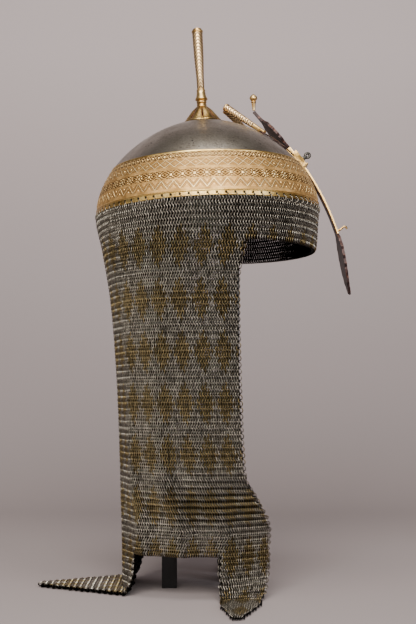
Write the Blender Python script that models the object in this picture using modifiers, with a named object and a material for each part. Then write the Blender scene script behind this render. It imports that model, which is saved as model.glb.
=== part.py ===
"""A kulah khud helmet on its plain stand.

Metres, +Z up, the helmet's front toward +X, the floor at z = 0. The origin is on the floor,
under the middle of the whole thing's length. The skull, spike, plume holders and nasal are
modelled upright in the helmet's own frame, whose origin is the centre of the dome's base
circle, and one empty leans that frame back. The mail and the stand are modelled in the floor's
frame, about the helmet's axis.
"""
import math

import bmesh
import bpy
from mathutils import Matrix, Vector

MM = 0.001
GAP = 0.3 * MM

# The helmet's frame: its axis, the height of the dome's base circle and the backward lean
AXIS_X = 12.0 * MM
BASE_HEIGHT = 355.6 * MM
LEAN_BACK = math.radians(2.1)

# The skull: a turned dome whose meridian is a superellipse
SKULL_RADIUS = 104.5 * MM
SKULL_HEIGHT = 86.9 * MM
SKULL_POWER = 1.70
SKULL_WALL = 1.8 * MM
RIM_DROP = 3.4 * MM
RIM_HOLES = 82
RIM_HOLE_WIDTH = 2.0 * MM
RIM_HOLE_HEIGHT = 0.2 * MM
BAND_BOTTOM = 3.0 * MM
BAND_TOP = 38.3 * MM
BAND_RIB = 0.5 * MM
BAND_RIB_WIDTH = 1.6 * MM
CROWN_ROWS = 6
INSIDE_ROWS = 5
HOLE_CUTTER_DEPTH = 8.0 * MM
SKULL_CUTTER_SKIRT = 20.0 * MM

# The top spike, measured from the seat at the crown
SPIKE_X = -1.5 * MM
SPIKE_LEAN = math.radians(1.4)
PETALS = 8
POINTS_PER_PETAL = 4
SOCKET_BORE_TOP = 3.5 * MM
SOCKET_BORE_BOTTOM = 2.6 * MM
SOCKET_BORE_DEPTH = 42.0 * MM
TURNED_FACETS = 12

# The plume holders, one at each side of the nasal
HOLDER_ROOT_TURN = math.radians(26.0)
HOLDER_ROOT_HEIGHT = 66.0 * MM
HOLDER_MOUTH = Vector((20.6, 4.5, 96.2)) * MM
HOLDER_MOUTH_RADIUS = 3.8 * MM
HOLDER_ROOT_RADIUS = 2.1 * MM
HOLDER_BORE_MOUTH = 2.9 * MM
HOLDER_BORE_ROOT = 1.9 * MM
HOLDER_BORE_DEPTH = 30.0 * MM
HOLDER_TAPER_START = 0.12
HOLDER_ROOT_BURIED = 3.0 * MM
LEAF_PLATE_TURN = math.radians(15.0)
LEAF_PLATE_HEIGHT = 47.0 * MM
LEAF_PLATE_HALF_WIDTH = 6.2 * MM
LEAF_PLATE_THICKNESS = 1.3 * MM
LEAF_PLATE_WAVES = 4
LEAF_PLATE_WAVE = 0.7 * MM
LEAF_PLATE_OVERLAP = 3.0 * MM
LEAF_PLATE_BLANK_REACH = 8.0 * MM
LEAF_PLATE_TIP_HALF_WIDTH = 0.4 * MM

# The nasal follows one arc, and turns about that arc's centre as it slides
ARC_CENTRE = Vector((-109.6, 0.0, -93.6)) * MM
ARC_RADIUS = 240.6 * MM
NASAL_THICKNESS = 2.4 * MM
BAR_HALF_WIDTH = 5.0 * MM
BAR_STEPS = 11
LEAF_TEETH = 7
TOOTH_DEPTH = 1.3 * MM
TOOTH_LEAN = 0.3

# The staple that the bar slides in, as angles on the same arc
STAPLE_LOW = math.radians(32.9)
STAPLE_HIGH = math.radians(37.0)
STAPLE_FOOT_SPREAD = math.radians(1.3)
STAPLE_WALL = 1.5 * MM
STAPLE_HALF_WIDTH = 8.4 * MM
STAPLE_FOOT_HALF_WIDTH = 10.5 * MM
STAPLE_LIP = 1.3 * MM
STAPLE_LIP_TURN = math.radians(0.4)
STAPLE_BLANK_DEPTH = 7.0 * MM
STAPLE_SLOT_OVERRUN = math.radians(3.0)
SCREW_ANGLE = math.radians(34.7)
SCREW_RADIUS = 1.2 * MM
SCREW_HEAD_REACH = 8.7 * MM
SCREW_RING_RADIUS = 2.1 * MM
SCREW_RING_WIRE = 0.75 * MM
BOSS_RADIUS = 2.8 * MM
BOSS_HEIGHT = 1.6 * MM

# The hook on the nasal's front: its place, its wire, and how far out and along each bend is
HOOK_ANGLE = math.radians(16.9)
HOOK_WIRE = 1.1 * MM
HOOK_BENDS = (
    ("foot", 0.0 * MM, 0.0 * MM),
    ("stem", 3.0 * MM, 0.2 * MM),
    ("rise", 5.4 * MM, 1.2 * MM),
    ("top", 7.4 * MM, 1.6 * MM),
    ("nose", 8.8 * MM, 1.0 * MM),
    ("end", 9.1 * MM, -1.2 * MM),
)

# The mail
MAIL_WALL = 2.6 * MM
FRINGE_FOOT = 318.0 * MM
FACE_HALF_TURN = math.radians(70.0)
HEM_HEIGHT = 40.0 * MM
FRONT_COLUMNS = 10
SIDE_COLUMNS = 18
FRINGE_ROWS = 3
LAPPET_COLUMNS = 5
FOLDS = 4.5
FOLD_DEPTH = 2.4 * MM
SIDE_LAPPET_TIP = Vector((24.0, -149.0)) * MM
SIDE_FOLD_REAR = Vector((12.5, -80.0)) * MM
SIDE_FOLD_FRONT = Vector((46.5, -76.0)) * MM
SIDE_LAPPET_STRAIGHT = 0.28
SIDE_TIP_WIDTH = 0.22
BACK_FOLD_X = -76.5 * MM
BACK_FOLD_HALF_WIDTH = 47.0 * MM
BACK_LAPPET_TIP = Vector((-158.5, 0.0)) * MM
BACK_TIP_WIDTH = 0.08

# The stand
LEG_WIDTH = 14.0 * MM
REAR_LEG = Vector((-36.0, 0.0)) * MM
FRONT_LEG = Vector((22.0, 30.0)) * MM
STAND_PLATE_TOP = 62.0 * MM
STAND_PLATE_THICKNESS = 4.0 * MM
STAND_PLATE_RADIUS = 46.0 * MM
PAD_RADIUS = 32.0 * MM
PAD_FACETS = 24
PAD_BLANK_HEIGHT = 40.0 * MM

# Height above the crown and radius of each petal ring, and how deep its grooves cut
PETAL_RINGS = (
    ("hollow under it", 0.35 * MM, 14.5 * MM, 0.08),
    ("lower edge", -1.5 * MM, 17.8 * MM, 0.08),
    ("edge's back", -0.5 * MM, 17.5 * MM, 0.09),
    ("flare", 2.6 * MM, 14.0 * MM, 0.12),
    ("flank", 7.0 * MM, 9.7 * MM, 0.14),
    ("throat", 9.8 * MM, 6.5 * MM, 0.10),
    ("neck", 11.4 * MM, 4.7 * MM, 0.00),
)

# Height above the crown and radius of each turn of the socket, from its mouth down
SOCKET_TURNS = (
    ("mouth lip", 85.3 * MM, 4.1 * MM),
    ("lip foot", 84.3 * MM, 4.2 * MM),
    ("flange top", 83.7 * MM, 5.3 * MM),
    ("flange foot", 82.0 * MM, 5.3 * MM),
    ("tube top", 81.2 * MM, 4.95 * MM),
    ("tube middle", 59.0 * MM, 4.35 * MM),
    ("tube waist", 40.0 * MM, 3.55 * MM),
    ("tube foot", 28.6 * MM, 3.5 * MM),
    ("ring top", 27.6 * MM, 4.3 * MM),
    ("baluster top", 25.4 * MM, 4.1 * MM),
    ("baluster flank", 21.4 * MM, 4.7 * MM),
    ("baluster belly", 18.8 * MM, 5.6 * MM),
    ("baluster foot", 17.2 * MM, 4.4 * MM),
    ("bead top", 16.6 * MM, 4.7 * MM),
    ("bead foot", 15.4 * MM, 4.7 * MM),
    ("groove", 14.7 * MM, 4.1 * MM),
    ("collar top", 14.0 * MM, 4.7 * MM),
    ("collar foot", 11.7 * MM, 4.6 * MM),
)

# Height above the bud's foot and radius of each turn, from its point down
BUD_TURNS = (
    ("point", 15.6 * MM, 0.0 * MM),
    ("shoulder", 14.4 * MM, 1.9 * MM),
    ("upper ball", 13.2 * MM, 3.1 * MM),
    ("belly", 11.4 * MM, 3.7 * MM),
    ("lower ball", 9.8 * MM, 3.0 * MM),
    ("ball foot", 8.9 * MM, 1.9 * MM),
    ("collar top", 8.2 * MM, 2.5 * MM),
    ("collar foot", 7.2 * MM, 2.5 * MM),
    ("stem top", 6.7 * MM, 1.9 * MM),
    ("stem foot", 0.0 * MM, 1.4 * MM),
)

# Place on the arc in degrees, half width, and lift off the arc
UPPER_LEAF = (
    ("stem end", 49.8, 1.6 * MM, 2.4 * MM),
    ("stem", 48.2, 1.7 * MM, 1.2 * MM),
    ("leaf tip", 46.9, 3.4 * MM, 0.6 * MM),
    ("upper edge", 45.6, 12.6 * MM, 0.0 * MM),
    ("widest", 43.6, 15.8 * MM, -0.8 * MM),
    ("lower edge", 41.2, 13.8 * MM, -0.9 * MM),
    ("shoulder", 39.4, 7.6 * MM, -0.5 * MM),
    ("neck", 38.6, 5.0 * MM, 0.0 * MM),
)
LOWER_LEAF = (
    ("neck", 16.3, 5.0 * MM, 0.0 * MM),
    ("shoulder", 15.2, 10.0 * MM, 0.0 * MM),
    ("upper edge", 13.2, 15.6 * MM, -0.6 * MM),
    ("widest", 10.6, 16.6 * MM, -1.2 * MM),
    ("lower edge", 7.8, 14.6 * MM, -1.4 * MM),
    ("taper", 5.0, 9.4 * MM, -0.9 * MM),
    ("tip", 2.3, 0.8 * MM, 0.6 * MM),
)

# Height of each level of the mail, the ends of its outline and how square its corners are
MAIL_LEVELS = (
    ("rim", 352.0 * MM, -103.0 * MM, 103.2 * MM, 103.2 * MM, 2.00),
    ("under the rim", 343.0 * MM, -102.6 * MM, 102.4 * MM, 102.6 * MM, 2.00),
    ("fringe foot", 318.0 * MM, -97.4 * MM, 100.2 * MM, 99.2 * MM, 2.05),
    ("cheek", 271.0 * MM, -89.6 * MM, 91.0 * MM, 92.5 * MM, 2.15),
    ("jaw", 209.0 * MM, -84.0 * MM, 84.0 * MM, 85.5 * MM, 2.30),
    ("neck", 152.0 * MM, -80.8 * MM, 76.0 * MM, 79.5 * MM, 2.45),
    ("shoulder", 84.0 * MM, -78.4 * MM, 70.0 * MM, 73.5 * MM, 2.55),
    ("hem", 40.0 * MM, -77.0 * MM, 66.0 * MM, 70.5 * MM, 2.60),
)

# Height and x of the face opening's edge, down to the front of the side lappets
FACE_EDGE = (
    ("brow corner", 318.0 * MM, 35.4 * MM),
    ("corner's foot", 290.0 * MM, 29.3 * MM),
    ("cheek", 264.0 * MM, 28.6 * MM),
    ("jaw", 181.0 * MM, 30.6 * MM),
    ("neck", 112.0 * MM, 34.3 * MM),
    ("lappet starts", 98.0 * MM, 38.5 * MM),
    ("lappet flares", 81.0 * MM, 48.4 * MM),
    ("lappet's front", 66.0 * MM, 55.0 * MM),
    ("hem", 40.0 * MM, 54.6 * MM),
)

# Heights of the rows of the mail below the fringe
WALL_ROWS = tuple(height * MM for height in
                  (304.0, 287.0, 262.0, 232.0, 202.0, 172.0, 144.0, 118.0, 98.0, 81.0, 66.0,
                   53.0, 40.0))

# Height of each row of a hanging lappet, and how far it has gone out to the fold
LAPPET_HANG = (
    ("under the hem", 29.0 * MM, 0.04),
    ("middle", 18.0 * MM, 0.16),
    ("bend", 9.0 * MM, 0.42),
    ("lower bend", 3.6 * MM, 0.72),
    ("fold", 1.3 * MM, 1.0),
)
LAPPET_FLOOR_ROWS = 4


def clear_scene():
    for item in list(bpy.data.objects):
        bpy.data.objects.remove(item, do_unlink=True)


def new_collection(name):
    group = bpy.data.collections.new(name)
    bpy.context.scene.collection.children.link(group)
    return group


def new_material(name, colour, roughness, metallic):
    """A Principled finish, its colour in linear light."""
    finish = bpy.data.materials.new(name)
    finish.use_nodes = True
    shader = finish.node_tree.nodes["Principled BSDF"]
    shader.inputs["Base Color"].default_value = (*colour, 1.0)
    shader.inputs["Roughness"].default_value = roughness
    shader.inputs["Metallic"].default_value = metallic
    return finish


def new_empty(name, group, parent=None, location=(0, 0, 0), turn=(0, 0, 0)):
    empty = bpy.data.objects.new(name, None)
    group.objects.link(empty)
    empty.parent = parent
    empty.location = location
    empty.rotation_euler = turn
    return empty


def new_object(name, shape, group, finish=None, parent=None, location=(0, 0, 0)):
    """An object from a bmesh, which is used up."""
    data = bpy.data.meshes.new(name)
    shape.to_mesh(data)
    shape.free()
    if finish:
        data.materials.append(finish)
    item = bpy.data.objects.new(name, data)
    group.objects.link(item)
    item.parent = parent
    item.location = location
    return item


def shade(item, angle=35.0):
    """Smooth shading, with the edges sharper than the angle left hard."""
    item.data.shade_smooth()
    item.data.set_sharp_from_angle(angle=math.radians(angle))


def profile_shape(points):
    """A chain of edges in the XZ plane, for a Screw modifier."""
    shape = bmesh.new()
    verts = [shape.verts.new((radius, 0.0, height)) for radius, height in points]
    for first, second in zip(verts, verts[1:]):
        shape.edges.new((first, second))
    return shape


def turn_profile(item, segments):
    screw = item.modifiers.new("turn", "SCREW")
    screw.axis = "Z"
    screw.steps = segments
    screw.render_steps = segments
    screw.use_merge_vertices = True
    screw.merge_threshold = 0.01 * MM
    screw.use_smooth_shade = True


def loft(sections):
    """A closed skin through a run of rings of points, with a flat cap at each end."""
    shape = bmesh.new()
    rings = [[shape.verts.new(point) for point in section] for section in sections]
    for low, high in zip(rings, rings[1:]):
        for here in range(len(low)):
            there = (here + 1) % len(low)
            shape.faces.new((low[here], low[there], high[there], high[here]))
    shape.faces.new(reversed(rings[0]))
    shape.faces.new(rings[-1])
    bmesh.ops.recalc_face_normals(shape, faces=shape.faces)
    return shape


def combine(item, other, operation, cutters):
    """Cut or join with another object, which stays as a guide."""
    boolean = item.modifiers.new(operation.lower() + " " + other.name, "BOOLEAN")
    boolean.operation = operation
    boolean.solver = "EXACT"
    boolean.object = other
    other.hide_render = True
    other.display_type = "WIRE"
    if other.name not in cutters.objects:
        cutters.objects.link(other)


def read_table(rows, place, column):
    """A column of a table at a place, along the table's straight runs."""
    ordered = sorted(rows, key=lambda row: row[1])
    if place <= ordered[0][1]:
        return ordered[0][column]
    for low, high in zip(ordered, ordered[1:]):
        if place <= high[1]:
            part = (place - low[1]) / (high[1] - low[1])
            return low[column] + part * (high[column] - low[column])
    return ordered[-1][column]


def skull_point(turn, part, offset=0.0):
    """A point of the skull's outside: part runs from the base circle, 0, to the crown, 1.

    The offset is taken along the surface's normal.
    """
    along = part * math.pi / 2
    radius = SKULL_RADIUS * max(math.cos(along), 0.0) ** (2 / SKULL_POWER)
    height = SKULL_HEIGHT * math.sin(along) ** (2 / SKULL_POWER)
    out = (radius / SKULL_RADIUS) ** (SKULL_POWER - 1) / SKULL_RADIUS
    up = (height / SKULL_HEIGHT) ** (SKULL_POWER - 1) / SKULL_HEIGHT
    length = math.hypot(out, up)
    radius += offset * out / length
    height += offset * up / length
    return Vector((radius * math.cos(turn), radius * math.sin(turn), height))


def skull_part(height):
    """The part of the meridian at which the skull's outside has this height."""
    return math.asin((height / SKULL_HEIGHT) ** (SKULL_POWER / 2)) * 2 / math.pi


def skull_meridian(offset, rows, low=0.0):
    """Radius and height of the skull's meridian, from the crown down to a height."""
    lowest = skull_part(low)
    points = []
    for row in range(rows + 1):
        point = skull_point(0.0, 1.0 + (lowest - 1.0) * row / rows, offset)
        points.append((0.0 if row == 0 else point.x, point.z))
    return points


def rib(height, offset):
    """Three points of a thin raised line on the skull, from its upper edge down."""
    points = []
    for step, lift in ((0.5, 0.0), (0.0, BAND_RIB), (-0.5, 0.0)):
        part = skull_part(height + step * BAND_RIB_WIDTH)
        point = skull_point(0.0, part, lift + offset)
        points.append((point.x, point.z))
    return points


def skull_outside(offset):
    """The skull's outer profile with the band's two raised lines, from the crown to the rim."""
    points = skull_meridian(offset, CROWN_ROWS, BAND_TOP + 1.5 * BAND_RIB_WIDTH)
    points += rib(BAND_TOP, offset)
    middle = skull_point(0.0, skull_part((BAND_TOP + BAND_BOTTOM) / 2), offset)
    points.append((middle.x, middle.z))
    points += rib(BAND_BOTTOM, offset)
    points.append((SKULL_RADIUS + offset, -RIM_DROP))
    return points


def add_skull_solid(name, points, segments, group, parent):
    """A solid dome inside a profile, to cut other pieces with."""
    points = points + [(points[-1][0], -SKULL_CUTTER_SKIRT), (0.0, -SKULL_CUTTER_SKIRT)]
    item = new_object(name, profile_shape(points), group, parent=parent)
    turn_profile(item, segments)
    return item


def add_bowl(group, cutters, finish, helmet):
    """The turned skull, with a raised line at each edge of the band and the rim's holes."""
    outside = skull_outside(0.0)
    inside = skull_meridian(-SKULL_WALL, INSIDE_ROWS)
    inside.append((SKULL_RADIUS - SKULL_WALL, -RIM_DROP))
    inside.reverse()
    bowl = new_object("bowl", profile_shape(outside + inside), group, finish, helmet)
    turn_profile(bowl, RIM_HOLES)
    holes = bmesh.new()
    for hole in range(RIM_HOLES):
        turn = (hole + 0.5) * 2 * math.pi / RIM_HOLES
        place = Matrix.Rotation(turn, 4, "Z") @ Matrix.Translation(
            (SKULL_RADIUS, 0.0, RIM_HOLE_HEIGHT))
        size = Matrix.Diagonal((HOLE_CUTTER_DEPTH, RIM_HOLE_WIDTH, RIM_HOLE_WIDTH, 1.0))
        bmesh.ops.create_cube(holes, size=1.0, matrix=place @ size)
    combine(bowl, new_object("rim_hole_cutter", holes, cutters, parent=helmet),
            "DIFFERENCE", cutters)


def add_spike(group, finish, helmet):
    """The fluted foot and the hollow socket over it, leaning a little further back."""
    seat = new_empty("spike_seat", group, helmet, (SPIKE_X, 0.0, SKULL_HEIGHT),
                     (0.0, -SPIKE_LEAN, 0.0))
    count = PETALS * POINTS_PER_PETAL
    sections = []
    for _, height, radius, groove in PETAL_RINGS:
        ring = []
        for point in range(count):
            turn = point * 2 * math.pi / count
            fullness = abs(math.cos(turn * PETALS / 2))
            reach = radius * (1.0 - groove * (1.0 - fullness))
            ring.append((reach * math.cos(turn), reach * math.sin(turn), height))
        sections.append(ring)
    new_object("finial_base", loft(sections), group, finish, seat)

    mouth = SOCKET_TURNS[0][1]
    bore_foot = mouth - SOCKET_BORE_DEPTH
    profile = [(0.0, bore_foot), (SOCKET_BORE_BOTTOM, bore_foot), (SOCKET_BORE_TOP, mouth)]
    profile += [(radius, height) for _, height, radius in SOCKET_TURNS]
    profile.append((0.0, SOCKET_TURNS[-1][1]))
    socket = new_object("finial_socket", profile_shape(profile), group, finish, seat)
    turn_profile(socket, TURNED_FACETS)


def add_plume_holder(name, side, group, cutters, finish, helmet, skull_cut, skull_skin):
    """A tapered tube on a wavy leaf plate that lies on the skull, soldered as one.

    The side is -1 on the wearer's right and 1 on the left.
    """
    root = skull_point(side * HOLDER_ROOT_TURN, skull_part(HOLDER_ROOT_HEIGHT),
                       GAP + LEAF_PLATE_THICKNESS)
    foot = skull_point(side * LEAF_PLATE_TURN, skull_part(LEAF_PLATE_HEIGHT))
    middle_turn = (HOLDER_ROOT_TURN + LEAF_PLATE_TURN) / 2
    middle_part = skull_part((HOLDER_ROOT_HEIGHT + LEAF_PLATE_HEIGHT) / 2)
    middle = skull_point(side * middle_turn, middle_part)
    out = (skull_point(side * middle_turn, middle_part, MM) - middle).normalized()
    along = (root - foot - (root - foot).dot(out) * out).normalized()
    across = out.cross(along)
    half_length = (root - foot).length / 2 + LEAF_PLATE_OVERLAP

    outline = []
    steps = LEAF_PLATE_WAVES * 4
    for edge in (1, -1):
        for step in range(steps):
            part = step / steps if edge == 1 else 1.0 - step / steps
            swell = math.sin(math.pi * part) ** 0.6
            wave = LEAF_PLATE_WAVE * math.cos(2 * math.pi * LEAF_PLATE_WAVES * part)
            width = max((LEAF_PLATE_HALF_WIDTH - wave) * swell, LEAF_PLATE_TIP_HALF_WIDTH)
            outline.append((2 * part - 1) * half_length * along + edge * width * across)
    prism = loft([[middle + point + level * out for point in outline]
                  for level in (-LEAF_PLATE_BLANK_REACH, LEAF_PLATE_BLANK_REACH)])
    plate = new_object(name, prism, group, finish, helmet)

    mouth = Vector((HOLDER_MOUTH.x, side * HOLDER_MOUTH.y, HOLDER_MOUTH.z))
    length = (mouth - root).length
    bore_foot = length - HOLDER_BORE_DEPTH
    profile = [
        (0.0, bore_foot),
        (HOLDER_BORE_ROOT, bore_foot),
        (HOLDER_BORE_MOUTH, length),
        (HOLDER_MOUTH_RADIUS, length),
        (HOLDER_ROOT_RADIUS, HOLDER_TAPER_START * length),
        (HOLDER_ROOT_RADIUS, -HOLDER_ROOT_BURIED),
        (0.0, -HOLDER_ROOT_BURIED),
    ]
    tube = new_object(name + "_tube", profile_shape(profile), cutters, parent=helmet)
    tube.matrix_local = (Matrix.Translation(root)
                         @ (mouth - root).to_track_quat("Z", "X").to_matrix().to_4x4())
    turn_profile(tube, TURNED_FACETS)
    combine(plate, skull_skin, "INTERSECT", cutters)
    combine(plate, tube, "UNION", cutters)
    combine(plate, skull_cut, "DIFFERENCE", cutters)


def arc_point(radius, angle, side=0.0):
    """A point in the nasal arc's own frame, whose origin is the arc's centre."""
    return Vector((radius * math.cos(angle), side, radius * math.sin(angle)))


def arc_block(inner, outer, low, high, half_width, steps):
    """A block bent along the arc."""
    sections = []
    for step in range(steps + 1):
        angle = low + (high - low) * step / steps
        sections.append([arc_point(inner, angle, -half_width), arc_point(outer, angle, -half_width),
                         arc_point(outer, angle, half_width), arc_point(inner, angle, half_width)])
    return loft(sections)


def radial_cylinder(radius, low, high, angle, segments):
    """A cylinder whose axis runs out from the arc's centre at this angle."""
    shape = bmesh.new()
    turn = Matrix.Rotation(math.pi / 2 - angle, 4, "Y")
    place = turn @ Matrix.Translation((0.0, 0.0, (low + high) / 2))
    bmesh.ops.create_cone(shape, cap_ends=True, segments=segments, radius1=radius,
                          radius2=radius, depth=high - low, matrix=place)
    return shape


def add_staple(group, cutters, finish, helmet, skull_cut):
    """The box staple on the brow: a foot on the skull, a strap over the bar, and a boss."""
    bar_inside = ARC_RADIUS - NASAL_THICKNESS / 2
    bar_outside = ARC_RADIUS + NASAL_THICKNESS / 2
    strap_inside = bar_outside + GAP
    strap_outside = strap_inside + STAPLE_WALL
    below_skull = bar_inside - STAPLE_BLANK_DEPTH
    shapes = {
        "staple_foot": arc_block(below_skull, bar_inside - GAP, STAPLE_LOW - STAPLE_FOOT_SPREAD,
                                 STAPLE_HIGH + STAPLE_FOOT_SPREAD, STAPLE_FOOT_HALF_WIDTH, 4),
        "staple_lip": arc_block(strap_outside - MM, strap_outside + STAPLE_LIP, STAPLE_LOW,
                                STAPLE_LOW + STAPLE_LIP_TURN, STAPLE_HALF_WIDTH, 1),
        "staple_boss": radial_cylinder(BOSS_RADIUS, strap_outside - MM,
                                       strap_outside + BOSS_HEIGHT, SCREW_ANGLE, 14),
        "staple_slot": arc_block(bar_inside - 1.2 * GAP, strap_inside,
                                 STAPLE_LOW - STAPLE_SLOT_OVERRUN,
                                 STAPLE_HIGH + STAPLE_SLOT_OVERRUN, BAR_HALF_WIDTH + GAP, 8),
        "staple_screw_hole": radial_cylinder(SCREW_RADIUS + GAP, bar_outside - MM,
                                             strap_outside + 2 * BOSS_HEIGHT, SCREW_ANGLE, 12),
    }
    block = arc_block(below_skull, strap_outside, STAPLE_LOW, STAPLE_HIGH, STAPLE_HALF_WIDTH, 3)
    bracket = new_object("nasal_bracket", block, group, finish, helmet, ARC_CENTRE)
    for name, shape in shapes.items():
        operation = "UNION" if name in ("staple_foot", "staple_lip", "staple_boss") else "DIFFERENCE"
        guide = new_object(name, shape, cutters, parent=helmet, location=ARC_CENTRE)
        combine(bracket, guide, operation, cutters)
    combine(bracket, skull_cut, "DIFFERENCE", cutters)


def add_screw(group, cutters, finish, helmet):
    """The clamp screw: a plain stem with an eye, its origin and local Z on its own axis."""
    stem_low = ARC_RADIUS + NASAL_THICKNESS / 2 + GAP
    ring_centre = ARC_RADIUS + NASAL_THICKNESS / 2 + SCREW_HEAD_REACH
    stem_length = ring_centre - SCREW_RING_RADIUS - stem_low
    axis = new_empty("screw_axis", group, helmet, ARC_CENTRE + arc_point(stem_low, SCREW_ANGLE),
                     (0.0, math.pi / 2 - SCREW_ANGLE, 0.0))
    stem = bmesh.new()
    bmesh.ops.create_cone(stem, cap_ends=True, segments=12, radius1=SCREW_RADIUS,
                          radius2=SCREW_RADIUS, depth=stem_length,
                          matrix=Matrix.Translation((0.0, 0.0, stem_length / 2)))
    screw = new_object("thumb_screw", stem, group, finish, axis)
    bpy.ops.mesh.primitive_torus_add(major_segments=16, minor_segments=6,
                                     major_radius=SCREW_RING_RADIUS,
                                     minor_radius=SCREW_RING_WIRE)
    eye = bpy.context.active_object
    eye.name = "screw_eye"
    for old in list(eye.users_collection):
        old.objects.unlink(eye)
    eye.parent = axis
    eye.location = (0.0, 0.0, ring_centre - stem_low)
    eye.rotation_euler = (math.pi / 2, 0.0, 0.0)
    combine(screw, eye, "UNION", cutters)
    shade(screw)


def leaf_stations(table, teeth):
    """Stations down a leaf: angle, half width and lift, with a notch between the teeth."""
    top = table[0][1]
    bottom = table[-1][1]
    stations = []
    for step in range(2 * teeth + 1):
        lean = TOOTH_LEAN if step % 2 else 0.0
        angle = top + (bottom - top) * (step + lean) / (2 * teeth)
        width = read_table(table, angle, 2)
        if step % 2 == 0 and width > BAR_HALF_WIDTH + TOOTH_DEPTH:
            width -= TOOTH_DEPTH
        stations.append((angle, width, read_table(table, angle, 3)))
    return stations


def add_nasal(group, finish, axis):
    """The bar and its two toothed leaves: half a strip along the arc, mirrored."""
    top = UPPER_LEAF[-1][1]
    bottom = LOWER_LEAF[0][1]
    stations = leaf_stations(UPPER_LEAF, LEAF_TEETH)
    for step in range(1, BAR_STEPS):
        stations.append((top + (bottom - top) * step / BAR_STEPS, BAR_HALF_WIDTH, 0.0))
    stations += leaf_stations(LOWER_LEAF, LEAF_TEETH)
    shape = bmesh.new()
    rows = []
    for angle, width, lift in stations:
        rows.append([shape.verts.new(arc_point(ARC_RADIUS + lift, math.radians(angle), -side))
                     for side in (0.0, 0.6 * width, width)])
    for high, low in zip(rows, rows[1:]):
        for here in range(2):
            shape.faces.new((high[here], high[here + 1], low[here + 1], low[here]))
    bmesh.ops.recalc_face_normals(shape, faces=shape.faces)
    bar = new_object("nasal_bar", shape, group, finish, axis)
    mirror = bar.modifiers.new("mirror", "MIRROR")
    mirror.use_axis = (False, True, False)
    mirror.merge_threshold = 0.01 * MM
    thicken(bar, NASAL_THICKNESS)


def thicken(item, thickness):
    """Give an open surface a wall, half to each side."""
    solid = item.modifiers.new("wall", "SOLIDIFY")
    solid.thickness = thickness
    solid.offset = 0.0


def add_bud(group, finish, axis):
    """The bud that ends the nasal's stem, standing upright on the stem's end."""
    _, angle, _, lift = UPPER_LEAF[0]
    end = arc_point(ARC_RADIUS + lift, math.radians(angle))
    profile = [(radius, height) for _, height, radius in BUD_TURNS]
    profile.append((0.0, BUD_TURNS[-1][1]))
    bud = new_object("nasal_finial", profile_shape(profile), group, finish, axis,
                     end + Vector((0.0, 0.0, NASAL_THICKNESS / 2 + GAP)))
    turn_profile(bud, TURNED_FACETS)


def add_hook(group, finish, axis):
    """The small hook on the nasal's front, out from the bar and bent down at its end."""
    foot = ARC_RADIUS + NASAL_THICKNESS / 2 + GAP
    curve = bpy.data.curves.new("nasal_hook", "CURVE")
    curve.dimensions = "3D"
    curve.bevel_depth = HOOK_WIRE
    curve.bevel_resolution = 1
    curve.use_fill_caps = True
    spline = curve.splines.new("POLY")
    spline.points.add(len(HOOK_BENDS) - 1)
    for point, (_, out, along) in zip(spline.points, HOOK_BENDS):
        place = arc_point(foot + out, HOOK_ANGLE + along / ARC_RADIUS)
        point.co = (*place, 1.0)
    curve.materials.append(finish)
    hook = bpy.data.objects.new("nasal_hook", curve)
    group.objects.link(hook)
    hook.parent = axis


def mail_outline(height, turn):
    """A point of the mail's outline on the wearer's right: turn is 0 at the front, pi behind."""
    back, front, side, power = (read_table(MAIL_LEVELS, height, column)
                                for column in (2, 3, 4, 5))
    flat = math.cos(turn)
    deep = math.sin(turn)
    x = (front + back) / 2 + (front - back) / 2 * math.copysign(abs(flat) ** (2 / power), flat)
    return Vector((x, -side * max(deep, 0.0) ** (2 / power)))


def face_edge_turn(height):
    """The turn at which the mail's outline reaches the face opening's edge."""
    edge = read_table(FACE_EDGE, height, 2)
    low, high = 0.0, math.pi
    for _ in range(40):
        turn = (low + high) / 2
        if mail_outline(height, turn).x > edge:
            low = turn
        else:
            high = turn
    return turn


def spread_points(height, start, end, count):
    """Points at even lengths along the mail's outline between two turns."""
    fine = 160
    path = [mail_outline(height, start + (end - start) * step / fine) for step in range(fine + 1)]
    lengths = [0.0]
    for first, second in zip(path, path[1:]):
        lengths.append(lengths[-1] + (second - first).length)
    points = []
    here = 0
    for place in range(count + 1):
        wanted = lengths[-1] * place / count
        while here < fine - 1 and lengths[here + 1] < wanted:
            here += 1
        part = (wanted - lengths[here]) / max(lengths[here + 1] - lengths[here], 1e-9)
        points.append(path[here].lerp(path[here + 1], min(part, 1.0)))
    return points


def fold_points(points, height):
    """Push a side row in and out in soft upright folds that grow toward the hem."""
    growth = (1.0 - (height - HEM_HEIGHT) / (FRINGE_FOOT - HEM_HEIGHT)) ** 1.5
    folded = []
    for place, point in enumerate(points):
        part = place / (len(points) - 1)
        before = points[max(place - 1, 0)]
        after = points[min(place + 1, len(points) - 1)]
        tangent = (after - before).normalized()
        out = Vector((tangent.y, -tangent.x))
        fade = math.sin(math.pi * part) ** 0.5
        push = FOLD_DEPTH * growth * fade * math.cos(2 * math.pi * FOLDS * part)
        folded.append(point - out * push)
    return folded


def mail_row(height):
    """One side row below the fringe, from the face opening's edge to the back."""
    row = fold_points(spread_points(height, face_edge_turn(height), math.pi, SIDE_COLUMNS), height)
    return [Vector((point.x, point.y, height)) for point in row]


def fringe_row(step):
    """One row of the top part, all round one half: it leans with the rim, then levels out."""
    part = step / FRINGE_ROWS
    top = BASE_HEIGHT - RIM_DROP - GAP
    level = top + (FRINGE_FOOT - top) * part
    front = spread_points(level, 0.0, FACE_HALF_TURN, FRONT_COLUMNS)
    side = spread_points(level, FACE_HALF_TURN, math.pi, SIDE_COLUMNS)
    row = []
    for point in front + side[1:]:
        row.append(Vector((point.x, point.y, level + point.x * math.tan(LEAN_BACK) * (1.0 - part))))
    return row


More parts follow.
